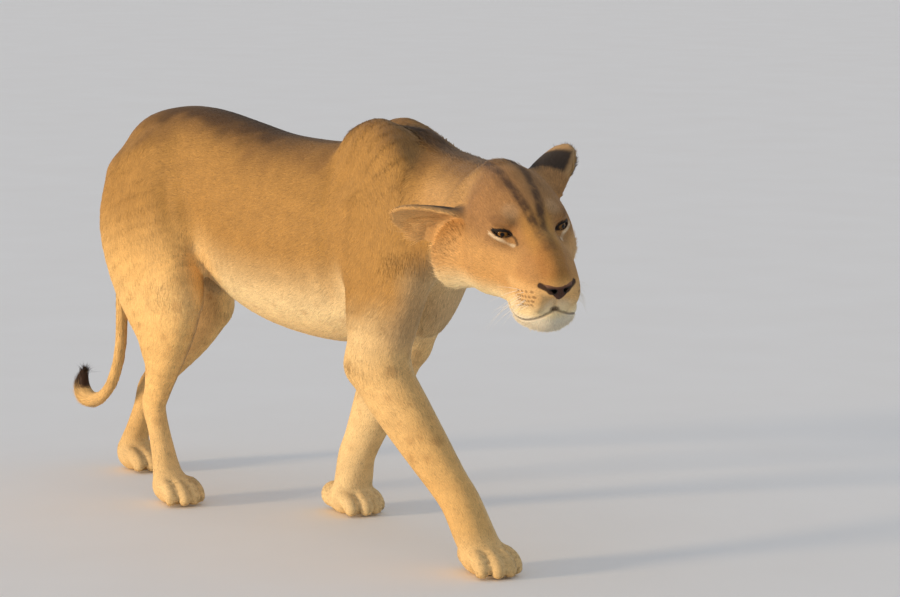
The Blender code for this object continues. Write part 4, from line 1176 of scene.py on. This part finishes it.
ruff = ramp(np.abs(hx + 0.150), 0.052, 0.030) * ramp(np.abs(hy), 0.060, 0.085) * ramp(hz, -0.010, -0.050)
throat = ramp(hx, -0.24, -0.20) * ramp(hz, -0.03, -0.08) * (sz > 0.5)
growCoat("coat_ruff", "head", ruff * masks["head"] + 0.5 * masks["body"] * throat, ruffSettings, 72)
growCoat("coat_chin", "head", masks["head"] * ramp(hx, 0.045, 0.065) * ramp(hz, -0.146, -0.152),
         chinSettings, 73)

# face: short hair, finest on the nose and the muzzle
faceSettings = {
    **bodySettings, "count": 32000, "lift": 0.09, "vary": 0.13, "stray": 0.12,
    "length": lambda roots, normals, local: (0.0105 - 0.0070 * ramp(local[:, 0], -0.10, 0.07)
                                             + 0.004 * ramp(local[:, 2], -0.10, -0.14)),
    "width": lambda roots, normals, local: 0.0017 - 0.0007 * ramp(local[:, 0], -0.10, 0.08)}
fine = masks["head"] * (1 + 1.8 * ramp(hx, -0.05, 0.06))
for number, half in enumerate((hy < 0, hy >= 0)):
    growCoat(f"coat_head_{number + 1}", "head", fine * half, faceSettings, 51 + number)

# ears: close hair all over, and the long lining of the hollow
earHair = {**bodySettings, "count": 7000, "length": 0.0075, "width": 0.0014, "lift": 0.12, "vary": 0.10,
           "slot": "fur_dark"}
liningSettings = {**longSettings, "count": 700, "width": 0.0013, "lift": 0.20, "vary": 0.10, "stray": 0.2}
liningLengths = {"right": 0.026, "left": 0.013}
for number, side in enumerate(ears):
    v, u, height = sampler.earSheet[side]
    foot = 0.2 + 0.35 * (u > 0.4) * (side == "right")  # the right ear's lower edge is rooted in the ruff
    on = masks["ear"] * (np.abs(height) < 0.013) * (v > foot) * (v < 1.15) * (np.abs(u) < 1.35)
    growCoat("coat_ear_" + side, "ear_" + side, on, earHair, 61 + number)
    lining = on * (height > 0.001) * ramp(u, 0.10, 0.40) * ramp(v, 0.75, 0.45)
    growCoat("coat_lining_" + side, "ear_" + side, lining,
             {**liningSettings, "length": liningLengths[side]}, 63 + number)


eyeSettings = {"look": (0.88, 0.46, -0.02), "bulge": 0.0012, "corneaAngle": 0.62, "rings": 56, "columns": 72,
               "play": 0.0004}


def eyePiece(side):
    # A ball whose front swells into the cornea. theta runs from the gaze backwards, phi round it.
    mirror = np.array((1, -1 if side == "right" else 1, 1))
    gaze = unit(np.array(eyeSettings["look"]) * mirror)
    up = unit(np.array((0, 0, 1.0)) - gaze[2] * gaze)
    across = np.cross(up, gaze)
    theta = np.linspace(0.0, math.pi, eyeSettings["rings"])[1:-1, None]
    phi = np.linspace(0, 2 * math.pi, eyeSettings["columns"], endpoint=False)[None]
    front = np.clip(1 - (theta / eyeSettings["corneaAngle"])**2, 0, 1)
    ballRadius = eyeRadius - eyeSettings["play"]
    radius = ballRadius + eyeSettings["bulge"] * front**1.5
    ways = (np.cos(theta) + 0 * phi)[..., None] * gaze + (np.sin(theta) * np.cos(phi))[..., None] * across \
        + (np.sin(theta) * np.sin(phi))[..., None] * up
    ball = (ways * radius[..., None]).reshape(-1, 3)
    poles = np.array([gaze * (ballRadius + eyeSettings["bulge"]), -gaze * ballRadius])
    points = fromHead(np.vstack([ball, poles]) + np.array(eyeAt) * mirror)
    rows, columns = len(theta), phi.shape[1]
    grid = np.arange(rows * columns).reshape(rows, columns)
    turned = np.roll(grid, -1, axis=1)
    quads = np.stack([grid[:-1], grid[1:], turned[1:], turned[:-1]], -1).reshape(-1, 4)
    first = np.column_stack([np.full(columns, rows * columns), grid[0], turned[0]])
    last = np.column_stack([np.full(columns, rows * columns + 1), turned[-1], grid[-1]])
    piece = meshPiece("eyeball_" + side, points, [quads, np.vstack([first, last])])
    turn = np.append(np.tile(np.arange(columns) / columns, rows), [0.5, 0.5])
    back = np.append(np.repeat(theta[:, 0] / math.pi, columns), [0.0, 1.0])
    addUv(piece.data, "eyeMap", np.column_stack([turn, back]))
    finishPiece(piece, eyeMaterial, "eye", "eye_" + side)


def makeEyeMaterial():
    # wet cornea over an amber iris with a round pupil and a dark ring; the white is brown and hardly shows
    material, shader = newMaterial("wet lion cornea over amber iris", {
        "Roughness": 0.30, "Specular IOR Level": 0.0,
        "Coat Weight": 0.85, "Coat Roughness": 0.02, "Coat IOR": 1.34})
    where = addNode(material, "UVMap", {}, uv_map="eyeMap").outputs[0]
    parts = addNode(material, "SeparateXYZ", {0: where})
    stretched = addNode(material, "Mapping", {"Vector": where, "Scale": (60.0, 9.0, 1.0)}).outputs[0]
    fibres = addNode(material, "TexNoise", {"Vector": stretched, "Scale": 1.0, "Detail": 3.0},
                     noise_dimensions="2D")
    ring = addNode(material, "ValToRGB", {"Fac": parts.outputs["Y"]})
    # from the gaze backwards: pupil, iris, its dark ring, white
    stops = ((0.0, "#050404"), (0.060, "#050404"), (0.066, "#5b3c18"), (0.105, "#8a5f26"), (0.150, "#6a4719"),
             (0.172, "#20150c"), (0.195, "#140e09"), (0.250, "#3b2c22"), (0.40, "#8a7362"))
    band = ring.color_ramp.elements
    for element, (place, code) in zip(band, (stops[0], stops[-1])):
        element.position, element.color = place, colour4(code)
    for place, code in stops[1:-1]:
        band.new(place).color = colour4(code)
    tone = addNode(material, "MapRange", {"Value": fibres.outputs["Fac"], "To Min": 0.70, "To Max": 1.25})
    tinted = addNode(material, "VectorMath", {0: ring.outputs["Color"], "Scale": tone.outputs[0]},
                     operation="SCALE")
    wire(tinted.outputs[0], shader.inputs["Base Color"])
    return material


eyeMaterial = makeEyeMaterial()
for side in ("right", "left"):
    eyePiece(side)


noseSettings = {"step": 0.0010, "box": ((0.110, -0.042, -0.108), (0.162, 0.042, -0.048)),
                "side": "#452717", "middle": "#24130c", "top": "#8d6347", "hole": "#0b0706"}


def noseDistance(local):  # the pad with its nostrils, the slits that run out from them and the middle groove
    found = smoothCut(padDistance(local), nostrilDistance(symmetric(local)), 0.002)
    groove = pathDistance(local, np.array(((0.1535, 0, -0.078), (0.146, 0, -0.100))))[0]
    return smoothCut(found, groove - 0.0013, 0.0015)


def makeNose():
    points, quads = levelSet(noseDistance, *noseSettings["box"], noseSettings["step"])
    nose = meshPiece("nose_leather", fromHead(points), [quads])
    side, middle, top, hole = (rgb(noseSettings[part]) for part in ("side", "middle", "top", "hole"))
    leather = side + (middle - side) * ramp(np.abs(points[:, 1]), 0.004, 0.022)[:, None]
    # the top of the pad paler: partly the pale edge where the leather meets the fur, partly painted light
    # where the top faces the light
    leather += (top - leather) * ramp(points[:, 2] + 0.3 * (points[:, 0] - 0.145), -0.069, -0.062)[:, None]
    # painted shade: the nostrils' insides nearly black, as shade falls in them
    inHole = ramp(nostrilDistance(symmetric(points)), 0.0030, 0.0002)[:, None]
    addColour(nose.data, leather * (1 - inHole) + hole * inHole)
    # bare moist skin, finely pebbled
    material, shader = newMaterial("moist pebbled nose leather", {
        "Roughness": 0.55, "Specular IOR Level": 0.3})
    where = addNode(material, "TexCoord", {}).outputs["Object"]
    pebbles = addNode(material, "TexVoronoi", {"Vector": where, "Scale": 900.0}, feature="DISTANCE_TO_EDGE")
    tone = addNode(material, "Attribute", {}, attribute_name="coatColour")
    wire(tone.outputs["Color"], shader.inputs["Base Color"])
    dimple = addNode(material, "Bump", {"Height": pebbles.outputs[0], "Distance": 0.0006, "Strength": 0.6})
    wire(dimple.outputs[0], shader.inputs["Normal"])
    finishPiece(nose, material, "nose", "nose")


makeNose()
print("eyes and nose")


whiskerSettings = {"length": 0.085, "radius": 0.00042, "rings": 10, "sides": 5, "sag": (-0.10, 0.0, -0.22)}


def makeWhiskers():
    # Each whisker is a tapering tube along a sagging arc: start + l (t way + t^2 sag).
    random = np.random.default_rng(77)
    starts, ways, lengths = [], [], []
    for sign in (-1, 1):
        for first, last, count in whiskerRows:
            for back, spot in enumerate(np.linspace(first, last, count)[1:]):
                starts.append(spot * (1, sign, 1) + (0, sign * 0.001, 0))
                droop = -0.30 - 0.08 * back + 0.2 * random.normal()
                ways.append(unit((-0.60 - 0.06 * back, sign * 0.58, droop)))
                lengths.append(whiskerSettings["length"] * (0.50 + 0.11 * back + 0.15 * random.random()))
    starts, ways, lengths = np.array(starts), np.array(ways), np.array(lengths)
    t = np.linspace(0, 1, whiskerSettings["rings"])[None, :, None]
    line = starts[:, None] + lengths[:, None, None] * (t * ways[:, None] + t**2 * whiskerSettings["sag"])
    first = unit(np.cross(ways, (0, 0, 1)))[:, None, None]
    second = np.cross(first[:, 0, 0], ways)[:, None, None]
    angle = np.linspace(0, 2 * math.pi, whiskerSettings["sides"], endpoint=False)[None, None, :, None]
    radius = whiskerSettings["radius"] * (1 - 0.88 * t)[..., None]
    tube = line[:, :, None] + radius * (first * np.cos(angle) + second * np.sin(angle))
    grid = np.arange(tube[..., 0].size).reshape(tube.shape[:3])
    turned = np.roll(grid, -1, axis=2)
    quads = np.stack([grid[:, :-1], turned[:, :-1], turned[:, 1:], grid[:, 1:]], -1).reshape(-1, 4)
    caps = np.vstack([grid[:, -1], grid[:, 0, ::-1]])
    # clear keratin, almost white, a little glossy
    material, shader = newMaterial("pale stiff whisker hair", {"Roughness": 0.35})
    tint = addNode(material, "TexNoise", {"Scale": 40.0})
    tinted = addNode(material, "Mix", {"Factor": tint.outputs["Fac"], "A": colour4("#e9dec6"),
                                       "B": colour4("#faf5ea")}, data_type="RGBA")
    wire(tinted.outputs["Result"], shader.inputs["Base Color"])
    finishPiece(meshPiece("whiskers", fromHead(tube.reshape(-1, 3)), [quads, caps]), material, "fur_pale")


makeWhiskers()
print("whiskers")


stageSettings = {"floor": "#f4f1eb", "floorDark": "#efebe4", "floorHalf": 60.0,
                 "key": "#ffe4bf", "keyStrength": 2.8, "keySoftness": 12.0, "keyFrom": (-0.32, -0.93, 0.13),
                 "sky": "#d6deeb", "skyStrength": 0.74}
cameraSettings = {"at": (5.67, -4.55, 1.43), "looks": (-0.745, 0.6539, -0.1317), "lens": 139.68}


def makeFloor():
    # a level plane with its middle under her; the noise keeps it from being one flat tone
    corners = stageSettings["floorHalf"] * np.array(((-1, -1, 0), (1, -1, 0), (1, 1, 0), (-1, 1, 0)))
    floor = meshPiece("floor", corners - rowShift, [np.array([(0, 1, 2, 3)])], smooth=False)
    material, shader = newMaterial("matt pale studio floor", {"Roughness": 0.9})
    where = addNode(material, "TexCoord", {}).outputs["Object"]
    noise = addNode(material, "TexNoise", {"Vector": where, "Scale": 3.0})
    tone = addNode(material, "Mix", {"Factor": noise.outputs["Fac"], "A": colour4(stageSettings["floorDark"]),
                                     "B": colour4(stageSettings["floor"])}, data_type="RGBA")
    wire(tone.outputs["Result"], shader.inputs["Base Color"])
    floor.data.materials.append(material)


def addAimed(name, data, place, target):  # a lamp or camera at place whose -Z looks at target
    place, target = Vector(place), Vector(target)
    thing = bpy.data.objects.new(name, data)
    turn = (target - place).to_track_quat("-Z", "Y").to_matrix().to_4x4()
    thing.matrix_world = Matrix.Translation(place + Vector(rowShift)) @ turn
    scene.collection.objects.link(thing)
    return thing


makeFloor()
lamp = bpy.data.lights.new("low warm key", "SUN")  # as wide as a soft box far off
lamp.energy, lamp.color = stageSettings["keyStrength"], rgb(stageSettings["key"])
lamp.angle = math.radians(stageSettings["keySoftness"])
addAimed("low warm key", lamp, 8 * unit(stageSettings["keyFrom"]), (0, 0, 0))
world = bpy.data.worlds.new("soft studio")
world.use_nodes = True
background = world.node_tree.nodes["Background"]
background.inputs["Color"].default_value = colour4(stageSettings["sky"])
background.inputs["Strength"].default_value = stageSettings["skyStrength"]
scene.world = world
scene.view_settings.view_transform = "Standard"
camera = bpy.data.cameras.new("camera")
camera.lens, camera.sensor_width, camera.clip_end = cameraSettings["lens"], 36.0, 500.0
start = Vector(cameraSettings["at"])
scene.camera = addAimed("camera", camera, start, start + Vector(cameraSettings["looks"]))
